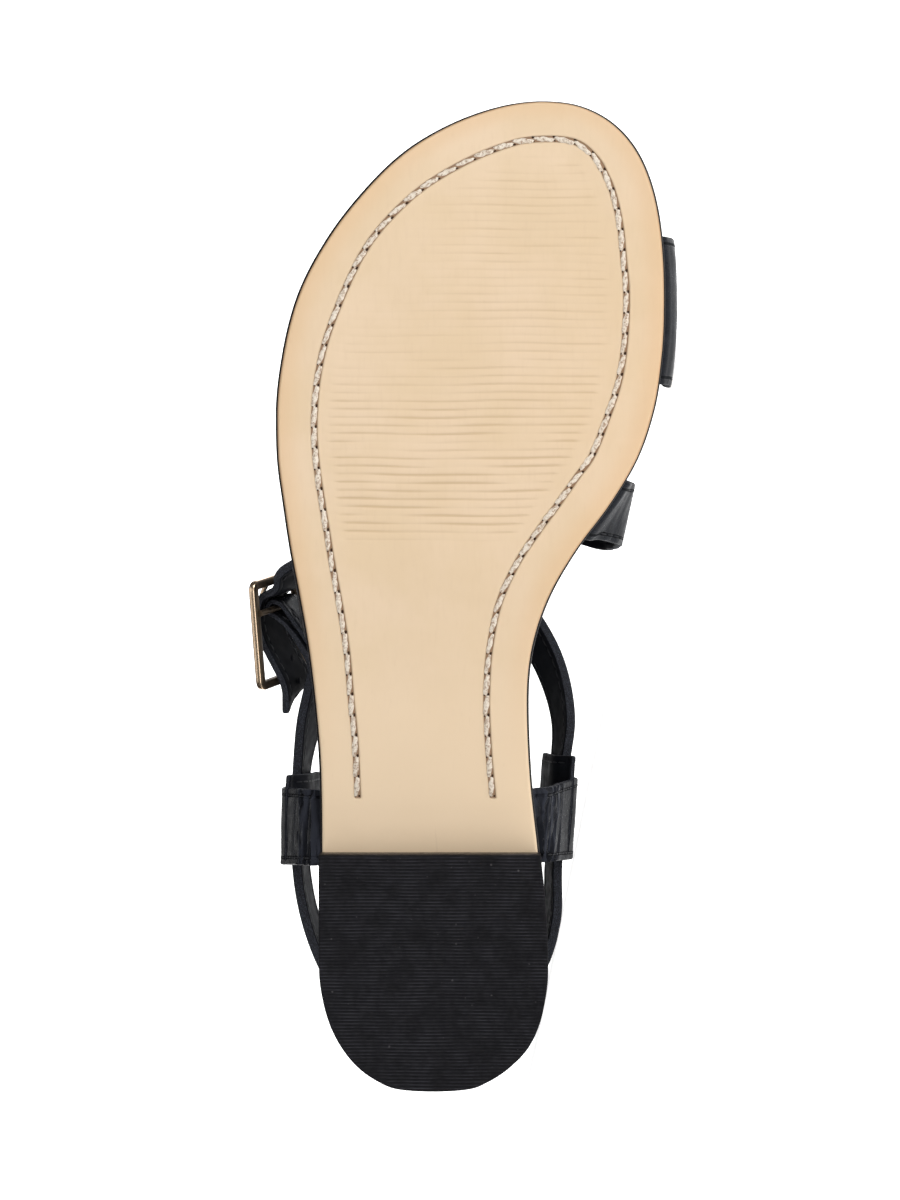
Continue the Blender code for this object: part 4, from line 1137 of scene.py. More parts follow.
def channel_line():
    """The stitched channel's centre line as even points in plan, with distances along it."""
    points = np.array(curve_through(CHANNEL["lateral"] + CHANNEL["medial"], 8))
    along = distances_along(points)
    at = np.linspace(0.0, along[-1], int(round(along[-1] / CHANNEL_STEP)) + 1)
    return points_at(at, along, points), at


def channel_distance(plan):
    """Signed distance to the channel's line, positive inside it."""
    line, _ = channel_line()
    starts, spans = line[:-1], np.diff(line, axis=0)
    lengths = (spans ** 2).sum(axis=1)
    result = np.empty(len(plan))
    for first in range(0, len(plan), PLAN_BATCH):
        away = plan[first:first + PLAN_BATCH, None, :] - starts[None]
        share = np.clip((away * spans[None]).sum(axis=2) / lengths, 0.0, 1.0)
        squared = ((away - share[:, :, None] * spans[None]) ** 2).sum(axis=2)
        nearest = squared.argmin(axis=1)
        pick = np.arange(len(away))
        from_start, span = away[pick, nearest], spans[nearest]
        cross = span[:, 0] * from_start[:, 1] - span[:, 1] * from_start[:, 0]
        result[first:first + PLAN_BATCH] = np.sqrt(squared[pick, nearest]) * np.sign(cross)
    return np.clip(result, -CHANNEL_REACH, CHANNEL_REACH)


def groove_distance(plan):
    """Distance to the channel's groove, which lies a little to the inner side of the thread."""
    return channel_distance(plan - np.array([0.0, GROOVE_ASIDE]))


def rib_lines(plan):
    """Depth share of the grip ribs' troughs, and share of the painted shade laid in them: thin,
    slightly wavy lines across the forefoot.
    """
    station, place = plan[:, 0], plan[:, 1]
    pitch = sized("rib_pitch")
    wave = 0.17 * np.sin(place / 9.3 + station / 21.0)
    wave += 0.08 * np.sin(place / 4.1 - station / 9.0 + 1.3)
    phase = (station + wave) / pitch
    away = (phase - np.floor(phase) - 0.5) * pitch
    line = np.exp(-(away / RIB_TROUGH) ** 2)
    share = ramp(channel_distance(plan), RIB_MARGIN, 1.8) * ramp(station, RIB_START, 3.0)
    far = ramp(station, 172.0, 30.0)
    outer = ramp(14.0 - place, 0.0, 25.0)
    faint = 1.0 - 0.3 * ramp(station, 158.0, 22.0) - 0.15 * far - 0.45 * far * outer
    patchy = np.array([
        smooth_noise((math.floor(number) * 3.7, y * 0.055, 0.0), 1.0, 6.0)
        for number, y in zip(phase, place)
    ])
    return share * faint * line * np.clip(0.85 + 1.1 * patchy, 0.25, 1.15)


def capsule(start, end, normal, radius, flat, rings=8, sides=8, twist=0.0, taper=3.2):
    """Points and quads of a stitch: a tapered bead on a short line, with an optional rope twist."""
    start, end, normal = Vector(start), Vector(end), Vector(normal)
    along = end - start
    length = along.length
    along.normalize()
    normal = (normal - along * normal.dot(along)).normalized()
    across = along.cross(normal)
    points = []
    for ring in range(rings + 1):
        share = ring / rings
        centre = start + along * (length * share)
        swell = max(1.0 - abs(2.0 * share - 1.0) ** taper, 0.04) ** 0.5
        for number in range(sides):
            angle = 2.0 * math.pi * number / sides
            lobe = 1.0 + twist * math.cos(2.0 * angle + 2.0 * math.pi * 2.2 * share)
            reach = radius * swell * lobe
            aside = across * (reach * math.cos(angle))
            points.append(centre + aside + normal * (reach * flat * math.sin(angle)))
    faces = grid_faces(rings + 1, sides, 0, True)
    faces.append(tuple(range(sides))[::-1])
    faces.append(tuple(range(rings * sides, (rings + 1) * sides)))
    return points, faces


class Strap:
    """A strap as a closed, finely divided sheet with rounded edges, through rows across it."""

    def __init__(self, rows, thicknesses=None, thickness=STRAP_THICKNESS, steps=8, spacing=1.0):
        thicknesses = thicknesses or [thickness] * len(rows)
        lines = np.array(curve_through([
            [value for point in row for value in point] + [thick]
            for row, thick in zip(rows, thicknesses)
        ], steps))
        along = distances_along(lines[:, :-1].reshape(len(lines), -1, 3).mean(axis=1))
        self.length = float(along[-1])
        even = np.linspace(1.0, self.length - 1.0, int(round(self.length / spacing)))
        tips = np.array(STRAP_TIPS)
        self.at = np.concatenate([tips, even, self.length - tips[::-1]])
        lines = points_at(self.at, along, lines)
        self.thickness = lines[:, -1]
        across_rows = lines[:, :-1].reshape(len(self.at), -1, 3)
        reaches = [distances_along(row) for row in across_rows]
        rims = np.array(STRAP_RIMS)
        widest = max(reach[-1] for reach in reaches)
        fill = max(int((widest - 2 * rims[-1]) / STRAP_FILL), 1)
        grid, edge = [], []
        for row, reach in zip(across_rows, reaches):
            width = reach[-1]
            squeezed = rims * min(1.0, width / (2 * rims[-1] + 1.0))
            places = edge_columns(0.0, width, squeezed, fill)
            grid.append(points_at(places, reach, row))
            edge.append(np.minimum(places, width - places))
        self.grid, self.edge = np.array(grid), np.array(edge)
        along, across = (np.gradient(self.grid, axis=axis) for axis in (0, 1))
        self.normals = unit(np.cross(along, across))

    def shift(self, amount):
        """Moves the sheet along its normals, by a function of distance along, column and height."""
        offsets = [
            [amount(at, number, point[2]) for number, point in enumerate(row)]
            for at, row in zip(self.at, self.grid)
        ]
        self.grid = self.grid + self.normals * np.array(offsets)[:, :, None]

    def mesh(self, layers=1):
        """Closed mesh with sunk stitch lines; 2 layers show the seam of two plies at its edges."""
        rounding, rim_share = (0.55, 0.25) if layers == 1 else (0.4, 0.5)
        drop = round_drop(self.edge, rounding) / rounding
        from_seam = np.abs(self.edge - STRAP_STITCH_INSET)
        seam = np.clip(1.0 - from_seam / STRAP_SEAM_REACH, 0.0, 1.0) ** 2 * STRAP_SEAM_DEPTH
        end = np.minimum(self.at, self.length - self.at)
        taper = 1.0 - 0.55 * (round_drop(end, 0.6) / 0.6)[:, None]
        half = self.thickness[:, None] / 2.0
        lift = self.normals * (half * (1.0 - (1.0 - rim_share) * drop) * taper - seam)[:, :, None]
        self.upper, self.lower = self.grid + lift, self.grid - lift
        count, columns = self.edge.shape
        size = count * columns
        vertices = [self.upper.reshape(-1, 3), self.lower.reshape(-1, 3)]
        faces = grid_faces(count, columns)
        faces += [face[::-1] for face in grid_faces(count, columns, size)]
        self.faces_across, self.faces_outer = columns - 1, (count - 1) * (columns - 1)
        edge_values = [self.edge.reshape(-1)] * 2
        seams = {}
        if layers == 2:
            rims = self.grid[:, [0, -1]]
            inward = unit(self.grid[:, [1, -2]] - rims)
            vertices.append((rims + inward * PLY_SEAM_DEPTH).reshape(-1, 3))
            edge_values.append(np.zeros(2 * count))
            seams = {0: 2 * size, columns - 1: 2 * size + 1}
        for number, flip in ((0, False), (columns - 1, True)):
            for row in range(count - 1):
                top = (row * columns + number, (row + 1) * columns + number)
                low = (size + top[0], size + top[1])
                if seams:
                    middle = (seams[number] + 2 * row, seams[number] + 2 * (row + 1))
                    quads = [(*top, *middle[::-1]), (*middle, *low[::-1])]
                else:
                    quads = [(*top, *low[::-1])]
                faces += quads if flip else [quad[::-1] for quad in quads]
        for row, flip in ((0, True), (count - 1, False)):
            for number in range(columns - 1):
                a, b = row * columns + number, row * columns + number + 1
                quad = (a, b, size + b, size + a)
                faces.append(quad[::-1] if flip else quad)
            for number, seam_start in seams.items():
                a = row * columns + number
                triangle = (a, seam_start + 2 * row, size + a)
                faces.append(triangle if flip == (number == 0) else triangle[::-1])
        return np.concatenate(vertices), faces, {"edge": np.concatenate(edge_values)}

    def stitches(self, faces_named, pitch, first=3.0, last=3.0):
        """Stitches along both edges, on the outer and or the inner face."""
        shapes = []
        half_count = self.edge.shape[1] // 2 + 1
        for face_name in faces_named:
            sheet, sign = (self.upper, 1.0) if face_name == "outer" else (self.lower, -1.0)
            for order in (slice(None), slice(None, None, -1)):
                line, normals = [], []
                for edge, points, outward in zip(self.edge, sheet, self.normals):
                    away = edge[order][:half_count]
                    reach = min(STRAP_STITCH_INSET, float(away[-1]) * 0.8)
                    line.append(points_at(reach, away, points[order][:half_count]))
                    normals.append(points_at(reach, away, outward[order][:half_count]))
                line, normals = np.array(line), np.array(normals) * sign
                place = first
                while place + pitch < self.length - last:
                    start = points_at(place + STITCH_HALF_GAP, self.at, line)
                    end = points_at(place + pitch - STITCH_HALF_GAP, self.at, line)
                    normal = points_at(place, self.at, normals)
                    lift = normal * STRAP_THREAD_RADIUS * 0.35
                    ends = (start + lift, end + lift)
                    shapes.append(capsule(*ends, normal, STRAP_THREAD_RADIUS, 0.85, 4, 6))
                    place += pitch
        return shapes


def tube(points, radii, sides, normal, square=2.0, closed=False):
    """A bar of superellipse section along points; radii are its half width and half depth."""
    vertices = []
    count = len(points)
    for index, point in enumerate(points):
        before = points[index - 1] if closed or index > 0 else point
        after = points[(index + 1) % count] if closed or index + 1 < count else point
        tangent = (after - before).normalized()
        depth = (normal - tangent * normal.dot(tangent)).normalized()
        width = tangent.cross(depth)
        half_width, half_depth = radii(index / (count - 1)) if callable(radii) else radii
        for number in range(sides):
            angle = 2.0 * math.pi * (number + 0.5) / sides
            c, s = math.cos(angle), math.sin(angle)
            reach_w = math.copysign(abs(c) ** (2.0 / square), c) * half_width
            reach_d = math.copysign(abs(s) ** (2.0 / square), s) * half_depth
            vertices.append(point + width * reach_w + depth * reach_d)
    faces = grid_faces(count, sides, 0, True)
    last = (count - 1) * sides
    if closed:
        for number in range(sides):
            following = (number + 1) % sides
            faces.append((last + number, last + following, following, number))
    else:
        faces += [tuple(range(sides))[::-1], tuple(range(last, last + sides))]
    return vertices, faces


def rounded_rectangle(half_length, half_height, corner):
    """Even points round a rectangle with round corners."""
    arcs = []
    for index, signs in enumerate(((1, 1), (-1, 1), (-1, -1), (1, -1))):
        middle = np.array((half_length - corner, half_height - corner)) * signs
        turns = [math.radians(90.0 * index + 90.0 * step / 8) for step in range(9)]
        arcs.append([middle + corner * np.array((math.cos(a), math.sin(a))) for a in turns])
    path = []
    for arc, following in zip(arcs, arcs[1:] + arcs[:1]):
        run = following[0] - arc[-1]
        path += arc + [arc[-1] + run * (step / 12) for step in range(1, 12)]
    return path


# ---------------------------------------------------------------- pieces


def make_outsole():
    """Tan leather outsole: rounded rim, grip ribs and the bed of the stitched channel."""
    stations = layer_stations(
        OUTSOLE_INSET, [(ROUND_END, 136.0, 1.1), (136.0, 234.0, 0.36), (234.0, 246.0, 0.7)]
    )

    def relief(plan, distances):
        flat, inner = plan.reshape(-1, 2), distances.reshape(-1)
        lift = rib_lines(flat) * sized("rib_height")
        bed = np.array([smooth_noise((x, y, 0.0), 0.045, 3.0) for x, y in flat]) * 0.25
        lift = (lift + bed * ramp(inner, 0.5, 4.0)) * np.clip(inner, 0.0, 1.0)
        return lift.reshape(distances.shape)

    sole_piece(
        "outsole_leather", stations, (0.0, 0.07, 0.18, 0.35, 0.6, 1.0, 1.7, 3.0), 40,
        OUTSOLE_INSET, tread, outsole_top, (0.75, 0.2), [tan_leather, edge_paint],
        "tan_leather", ["outsole"], relief,
        values={"channel": groove_distance, "rib": rib_lines}, under_only=True,
    )


def make_channel_stitching():
    """Cream waxed thread in the channel, and dark shapes of painted shade for the needle holes between
    its stitches.
    """
    line, at = channel_line()
    length = float(at[-1])
    count = int(length / sized("stitch_pitch"))
    pitch = length / count
    radius = sized("thread_width") / 2.0
    outward = (0.0, 0.0, -1.0)

    def place(distance, aside, depth):
        x, y = points_at(distance, at, line)
        run = unit(points_at(distance + 0.5, at, line) - points_at(distance - 0.5, at, line))
        x, y = x - run[1] * aside, y + run[0] * aside
        return Vector((x, y, tread(x) + depth))

    chance = random.Random(5)
    beads, holes = [], []
    for number in range(count):
        slant = 0.36 + chance.uniform(-0.1, 0.1)
        start = place(number * pitch - STITCH_OVERLAP, -slant, THREAD_DEPTH)
        end = place((number + 1) * pitch + STITCH_OVERLAP, slant, THREAD_DEPTH)
        size = radius * chance.uniform(0.88, 1.08)
        beads.append(capsule(start, end, outward, size, 0.8, 16, 12, 0.16, 2.5))
    for number in range(count + 1):
        spot = number * pitch + chance.uniform(-0.15, 0.15)
        inner = 1.0 if spot < length * 0.5 else -1.0
        for aside, reach, wide in NEEDLE_HOLES:
            ahead = place(min(spot + reach, length), inner * aside + 0.16, 0.02)
            behind = place(max(spot - reach, 0.0), inner * aside - 0.16, 0.02)
            holes.append(capsule(behind, ahead, outward, wide, 0.6, 4, 8))
    add_piece("channel_thread", *join_shapes(beads), [cream_thread], "tan_leather")
    add_piece("channel_needle_holes", *join_shapes(holes), [needle_hole], "black_edge")


def bed_relief(plan, distances):
    """Shallow hollows of the heel, the ball and the big toe in the insole."""
    station, place = plan[..., 0], plan[..., 1]
    hollow = 0.0
    for middle, across, long, wide, depth in BED_HOLLOWS:
        spread = ((station - middle) / long) ** 2 + ((place - across) / wide) ** 2
        hollow = hollow + depth * np.exp(-spread)
    return -hollow * ramp(distances, 0.0, 3.0)


def make_midsole_and_insole():
    """Black-edged midsole and the insole with its rounded edge and soft foot bed."""
    sole_piece(
        "midsole_edge", layer_stations(0.0, [(ROUND_END, 234.0, 1.4), (234.0, 246.0, 0.8)]),
        (0.0, 0.1, 0.25, 0.5, 0.9, 1.5), 8, 0.0,
        lambda station: midsole_base(station) - GAP * 0.9, midsole_top, (0.7, 0.7),
        [edge_paint], "black_edge", ["midsole"],
    )
    sole_piece(
        "insole_leather", layer_stations(INSOLE_INSET, [(ROUND_END, 246.0, 1.4)]),
        (0.0, 0.1, 0.3, 0.6, 1.0, 1.6, 2.6), 22, INSOLE_INSET,
        lambda station: insole_base(station) - GAP * 0.8, insole_top, (0.3, 1.1),
        [edge_paint, lining_leather], "black_leather", ["insole"],
        under_only=True, over_relief=bed_relief,
    )


def make_heel():
    """Painted heel block and the ribbed rubber top lift."""
    front = HEEL_BREAST - 0.1
    breast = (front - 0.8, front, 0.16)
    rims = (0.0, 0.1, 0.25, 0.5, 0.9, 1.6)
    pitch = sized("lift_rib_pitch")
    bands = [(ROUND_END, front - 1.0, 1.2), breast]
    sole_piece(
        "heel_block_paint", station_list(HEEL_BLOCK_INSET + EDGE_START, front, bands, toe=False),
        rims, 8, HEEL_BLOCK_INSET, lambda station: TOP_LIFT_THICKNESS + GAP * 0.4,
        lambda station: tread(station) - GAP * 0.3, (0.35, 0.2),
        [edge_paint], "black_edge", ["heel_block"], front=front,
    )

    def furrow(plan):
        station, place = plan[..., 0], plan[..., 1]
        wave = 0.08 * np.sin(place / 5.0 + station / 6.0)
        return 0.5 - 0.5 * np.cos(2.0 * math.pi * (station + wave) / pitch)

    def ribs(plan, distances):
        return sized("lift_rib_depth") * furrow(plan) ** 1.6 * ramp(distances, 0.5, 0.6)

    bands = [(0.6, front - 0.9, pitch / 6.0), breast]
    sole_piece(
        "top_lift_rubber", station_list(TOP_LIFT_INSET + EDGE_START, front, bands, False, 30),
        rims, 16, TOP_LIFT_INSET, lambda station: 0.0, lambda station: TOP_LIFT_THICKNESS,
        (0.45, 0.15), [heel_rubber], "black_rubber", ["top_lift"], ribs, front=front,
        values={"ridge": lambda plan: 1.0 - furrow(plan)},
    )


def strap_piece(name, strap, replaced, layers=1, stitch_faces=("outer",), leaf=0.0,
                face=black_leather, **stitching):
    """One strap and its edge stitching as two pieces; leaf is the length of its matt inner end."""
    vertices, faces, values = strap.mesh(layers)
    across, outer = strap.faces_across, strap.faces_outer
    leaf_row = int(np.searchsorted(strap.at, strap.length - leaf))
    picks = np.zeros(len(faces), np.int32)
    picks[leaf_row * across:2 * outer] = LINING_PICK
    picks[2 * outer:] = CUT_EDGE_PICK
    picks[:2 * outer:across] = picks[across - 1:2 * outer:across] = CUT_EDGE_PICK
    finishes = [face, lining_leather, cut_edge]
    add_piece(name, vertices, faces, finishes, "black_leather", replaced, 45.0, values, picks)
    shapes = strap.stitches(stitch_faces, sized("strap_stitch_pitch"), **stitching)
    add_piece(name + "_thread", *join_shapes(shapes), [black_thread], "black_leather")


def crease(depth, along, across, seed):
    """Soft troughs and ridges that run across a strap, for Strap.shift."""
    def amount(place, number, _height):
        fold = ripple(place / along, number / across, seed)
        broad = ripple(place / 19.0, number / 30.0, seed + 9.0)
        fade = min(place / 9.0, 1.0)
        return depth * (1.0 - 2.0 * abs(fold)) * fade + 0.3 * broad * fade
    return amount


def make_vamp_straps():
    """Toe ring strap and the two crossing vamp straps."""
    depth = sized("strap_crease")
    lower = foot_rows(LOWER_CROSS_STRAP, VAMP_COLUMNS) + strap_end("lower_lateral")[::-1]
    upper = strap_end("upper_medial") + foot_rows(UPPER_CROSS_STRAP, VAMP_COLUMNS)
    upper += strap_end("upper_lateral")[::-1]
    for name, rows, folds, first, last in (
        ("toe_ring_strap", toe_ring_rows(), (depth * 0.7, 6.0, 14.0, 2.0), 12.0, 2.0),
        ("lower_vamp_strap", lower, (depth, 5.0, 12.0, 4.0), 3.0, 11.0),
        ("upper_vamp_strap", upper, (depth, 5.0, 12.0, 6.0), 12.0, 11.0),
    ):
        strap = Strap(rows)
        strap.shift(crease(*folds))
        strap_piece(name, strap, ["upper"], first=first, last=last)


def side_loop_rows(side):
    """Rows of a side loop: out of the sole, up to the ankle strap, over it and down inside."""
    sign = 1.0 if side == "medial" else -1.0
    at_sole, at_strap, at_leaf = LOOP_STATIONS[side]
    rows = tab_rows(*STRAP_ENDS["loop_" + side], 3)
    foot = abs(outline(LOOP_STATION, side)) + LOOP_WALL
    top = strap_face(side, LOOP_FOLD[0][1]) + LOOP_FOLD[0][0]

    def row_between(first, second, share, place, height):
        ends = []
        for start, end in zip(first, second):
            station = start + (end - start) * share
            flare = LOOP_FLARE[side] * (station - LOOP_STATION)
            ends.append(Vector((station, sign * (place + flare), height)))
        return straight_row(*ends, 3)

    base = LOOP_HEIGHTS[0] - LOOP_FOOT_RISE
    for height in LOOP_HEIGHTS:
        share = (height - base) / (LOOP_FOLD[0][1] - base)
        place = foot + (top - foot) * share ** LOOP_BULGE
        rows.append(row_between(at_sole, at_strap, share, place, height))
    for number, (outward_by, height) in enumerate(LOOP_FOLD):
        share = min(max((number - 1) / LEAF_TURN_ROWS, 0.0), 1.0)
        place = strap_face(side, height) + outward_by
        rows.append(row_between(at_strap, at_leaf, share, place, height))
    return [row[::-1] for row in rows] if side == "lateral" else rows


def make_side_loops():
    """Side loops that carry the ankle strap, gathered where they bend."""
    depth = sized("loop_crease")
    for side, seed in (("medial", 3.0), ("lateral", 8.0)):
        def gather(place, number, height, seed=seed):
            wobble = ripple(place / 7.0, number / 9.0, seed)
            fold = ripple(place / 2.6 + 1.2 * wobble, number / 17.0, seed + 3.0)
            up = ramp(height, 14.0, 6.0)
            low = max(ramp(40.0 - height, 0.0, 8.0), 0.04)
            return depth * up * low * (0.7 - 2.2 * abs(fold)) + 0.2 * wobble * up

        strap = Strap(side_loop_rows(side), thickness=LOOP_THICKNESS, spacing=0.7)
        strap.shift(gather)
        strap_piece(
            "side_loop_" + side + "_leather", strap, ["side_loop_" + side],
            stitch_faces=("outer", "inner"), leaf=LEAF_LENGTH, face=loop_leather,
            first=11.0, last=2.0,
        )


def make_ankle_strap():
    """Two-ply ankle strap from its pointed tail round the ankle to the fold at the buckle."""
    rows, thicknesses = [], []
    for line in ankle_strap_rows():
        centre, up = Vector(line[:3]), Vector(line[3:6]).normalized()
        half = line[7] / 2.0
        rows.append([centre - up * half, centre, centre + up * half])
        thicknesses.append(line[6])
    strap = Strap(rows, thicknesses, steps=10, spacing=1.1)
    fold_start = strap.length - FOLD_GATHER_LENGTH

    def gather(place, number, _height):
        broad = ripple(place / 16.0, number / 25.0, 1.0)
        fold = ripple(place / 2.6, number / 8.0, 7.0)
        gathered = ramp(place, fold_start, 18.0) * min((strap.length - place) / 6.0, 1.0)
        return 0.12 * broad + sized("strap_crease") * gathered * (0.6 - 1.8 * abs(fold))

    strap.shift(gather)
    strap_piece(
        "ankle_strap_leather", strap, ["ankle_strap"], layers=2,
        stitch_faces=("outer", "inner"), first=4.0, last=3.0,
    )
    forward, _, outward = buckle_axes()
    holes = []
    for forward_by, outward_by in TAIL_HOLES:
        for turned in (1.0, -1.0):
            centre = buckle_point(forward_by, STRAP_PLACE, outward_by)
            centre = centre + outward * turned * (TAIL_THICKNESS / 2.0 - 0.05)
            ends = (centre - forward * HOLE_RADIUS, centre + forward * HOLE_RADIUS)
            holes.append(capsule(*ends, outward * turned, HOLE_RADIUS, 0.22, 6, 12))
    add_piece("ankle_strap_holes", *join_shapes(holes), [lining_leather], "black_leather")


def make_buckle():
    """Rose gold buckle: frame with rounded corners, hinge bar and prong."""
    _, across, outward = buckle_axes()
    half_bar = FRAME_BAR_WIDTH / 2.0
    half_length, half_height = FRAME_LENGTH / 2.0 - half_bar, FRAME_HEIGHT / 2.0 - half_bar
    path = rounded_rectangle(half_length, half_height, FRAME_CORNER - half_bar)
    ring = [buckle_point(forward_by, across_by, 0.0) for forward_by, across_by in path]
    frame_shape = tube(ring, (half_bar, FRAME_BAR_DEPTH / 2.0), 20, outward, 3.4, True)
    bar = [
        buckle_point(HINGE_BAR_STATION, -half_height + 2 * half_height * step / 14, -HINGE_BAR_DROP)
        for step in range(15)
    ]
    bar_shape = tube(bar, (HINGE_BAR_RADIUS, HINGE_BAR_RADIUS), 16, outward)
    picks = []                      # 1 is the metal darkened with painted shade and reflection, underneath and towards the middle
    for face in frame_shape[1]:
        points = [frame_shape[0][number] for number in face]
        centre = sum(points, Vector()) / len(points)
        normal = (points[1] - points[0]).cross(points[2] - points[0]).normalized()
        bar_point = min(ring, key=lambda point: (point - centre).length)
        if normal.dot(centre - bar_point) < 0.0:
            normal = -normal
        inward = BUCKLE_CENTRE - centre
        inward = (inward - outward * inward.dot(outward)).normalized()
        facing = normal.dot(outward)
        picks.append(1 if facing < -0.5 or (normal.dot(inward) > 0.35 and facing < 0.5) else 0)
    picks += [1] * len(bar_shape[1])
    add_piece(
        "buckle_frame_polished", *join_shapes([frame_shape, bar_shape]),
        [rose_gold, shaded_metal], "rose_gold", ["buckle_frame"], picks=picks,
    )

    def prong_radii(share):
        tip = math.sqrt(max(1.0 - max((share - 0.93) / 0.07, 0.0) ** 2, 0.03))
        return (PRONG_RADIUS * (1.0 - PRONG_TAPER * share) * tip,) * 2

    route = curve_through(PRONG_ROUTE, 6)
    points = [buckle_point(forward_by, STRAP_PLACE, outward_by) for forward_by, outward_by in route]
    vertices, faces = tube(points, prong_radii, 14, across)
    add_piece("buckle_prong_polished", vertices, faces, [rose_gold], "rose_gold", ["buckle_prong"])


def add_sweep():
    """Pale paper floor that curves up behind the shoe."""
    tone = tuple(colours().stage)
    made = Finish("stage_paper", tone, 0.9, specular=0.1)
    made.set("Emission Color", (1.0, 1.0, 1.0, 1.0))
    made.set("Emission Strength", sizes().paper_glow)
    made.tint(Vector(tone) * 0.985, made.noise(0.6, 2.0), 0.3, 0.7)
    profile = [(STAGE_FRONT, 0.0), (SWEEP_START, 0.0)]
    for step in range(1, SWEEP_STEPS + 1):
        angle = math.radians(90.0 * step / SWEEP_STEPS)
        back, rise = SWEEP_RADIUS * math.sin(angle), SWEEP_RADIUS * (1.0 - math.cos(angle))
        profile.append((SWEEP_START + back, rise))
    vertices = [(x, *point) for point in profile for x in (-STAGE_HALF_WIDTH, STAGE_HALF_WIDTH)]
    faces = [(2 * row, 2 * row + 1, 2 * row + 3, 2 * row + 2) for row in range(len(profile) - 1)]
    mesh = bpy.data.meshes.new("stage_sweep")
    mesh.from_pydata(vertices, [], faces)
    mesh.shade_smooth()
    mesh.materials.append(made.finish())
    sweep = placed("stage_sweep", mesh)


def add_softbox(name, place, size, aim):
    """A soft rectangular lamp, its power set by the setting of its name."""
    light = bpy.data.lights.new(name + "_softbox", "AREA")
    light.shape = "RECTANGLE"
    light.size, light.size_y = size
    light.energy = getattr(sizes(), name + "_light")
    lamp = placed(name + "_softbox", light)
    lamp.location = place
    lamp.rotation_mode = "QUATERNION"
    lamp.rotation_quaternion = (Vector(place) - Vector(aim)).to_track_quat("Z", "Y")


def make_stage():
    """Pale floor with a sweep behind, soft lights, and the camera square to the tread."""
    scene = bpy.context.scene
    add_sweep()
    centre = SHOE @ Vector(VIEW_CENTRE)
    for name, place, size, aim in SOFTBOXES:
        add_softbox(name, place, size, aim or centre)

    world = bpy.data.worlds.new("studio_air")
    world.use_nodes = True
    air = world.node_tree.nodes["Background"]
    air.inputs["Color"].default_value = (1.0, 1.0, 1.0, 1.0)
    air.inputs["Strength"].default_value = sizes().air_light
    scene.world = world
    scene.view_settings.view_transform = "Standard"

    camera = bpy.data.cameras.new("camera")
    camera.sensor_fit = "AUTO"
    camera.sensor_width = CAMERA_SENSOR
    forward, _, upward = (axis.normalized() for axis in SHOE.to_3x3().transposed())
    place = centre - upward * VIEW_DISTANCE
    place.z = max(place.z, CAMERA_FLOOR)
    camera.lens = camera.sensor_width * (place - centre).length / (VIEW_HEIGHT * MM)
    camera.clip_start = 0.01
    back = (place - centre).normalized()
    right = forward.cross(back).normalized()
    stand = placed("camera", camera)
    turn = Matrix((right, back.cross(right), back)).transposed().to_4x4()
    stand.matrix_world = Matrix.Translation(place) @ turn
    scene.camera = stand


# ---------------------------------------------------------------- settings and operators


def length_setting(name, description, default):
    return bpy.props.FloatProperty(
        name=name, description=description, default=default, min=0.0, unit="LENGTH", precision=5
    )


def power_setting(name, description, default):
    return bpy.props.FloatProperty(name=name, description=description, default=default, min=0.0)


def colour_setting(name, description, default):
    return bpy.props.FloatVectorProperty(
        name=name, description=description, default=default, size=3, min=0.0, max=1.0,
        subtype="COLOR",
    )


class SandalSizes(bpy.types.PropertyGroup):
    """Sizes of the sandal's fine detail and strength of the studio's lights."""

    rib_pitch: length_setting("Grip rib pitch", "Distance between the forefoot's grip ribs", 0.00205)
    rib_height: length_setting("Grip rib height", "Depth of the troughs between the grip ribs", 0.0002)
    lift_rib_pitch: length_setting("Heel rib pitch", "Distance between the top lift's ribs", 0.00085)
    lift_rib_depth: length_setting("Heel rib depth", "Depth of the top lift's ribs", 0.0002)
    stitch_pitch: length_setting("Sole stitch", "Length of one stitch in the sole's channel", 0.0052)
    thread_width: length_setting("Sole thread", "Width of the thread in the sole's channel", 0.0014)
    strap_stitch_pitch: length_setting("Strap stitch", "Length of one stitch along the straps", 0.0029)
    strap_crease: length_setting("Strap creases", "Depth of the creases in the straps", 0.00028)
    loop_crease: length_setting("Loop creases", "Depth of the gathers in the side loops", 0.001)
    top_light: power_setting("Top softbox", "Power of the softbox above, in watts", 2.6)
    key_light: power_setting("Key softbox", "Power of the softbox at the toe's side, in watts", 9.4)
    front_light: power_setting("Front softbox", "Power of the softbox in front, in watts", 3.4)
    fill_light: power_setting("Fill softbox", "Power of the softbox at the heel's side, in watts", 3.6)
    rim_light: power_setting("Rim softbox", "Power of the narrow softbox behind, in watts", 0.5)
    air_light: power_setting("Studio air", "Strength of the even light from all round", 0.05)
    wall_light: power_setting("Wall softbox", "Power of the softbox on the backdrop, in watts", 60.0)
    paper_glow: power_setting("Paper glow", "Strength of the light through the stage's paper", 0.72)


class SandalColours(bpy.types.PropertyGroup):
    """Base colours of the sandal's leathers, rubber, thread and metal."""

    tan: colour_setting("Tan leather", "Sole leather", (0.74, 0.57, 0.378))
    black: colour_setting("Black leather", "Strap leather", (0.0108, 0.0117, 0.0152))
    edge: colour_setting("Edge paint", "Painted edges of the sole", (0.009, 0.007, 0.007))
    rubber: colour_setting("Heel rubber", "Top lift", (0.0052, 0.0050, 0.0065))
    thread: colour_setting("Sole thread", "Thread in the channel", (0.81, 0.73, 0.62))
    metal: colour_setting("Rose gold", "Buckle plate", (1.0, 0.75, 0.52))
    stage: colour_setting("Stage", "Floor and backdrop", (0.93, 0.93, 0.93))


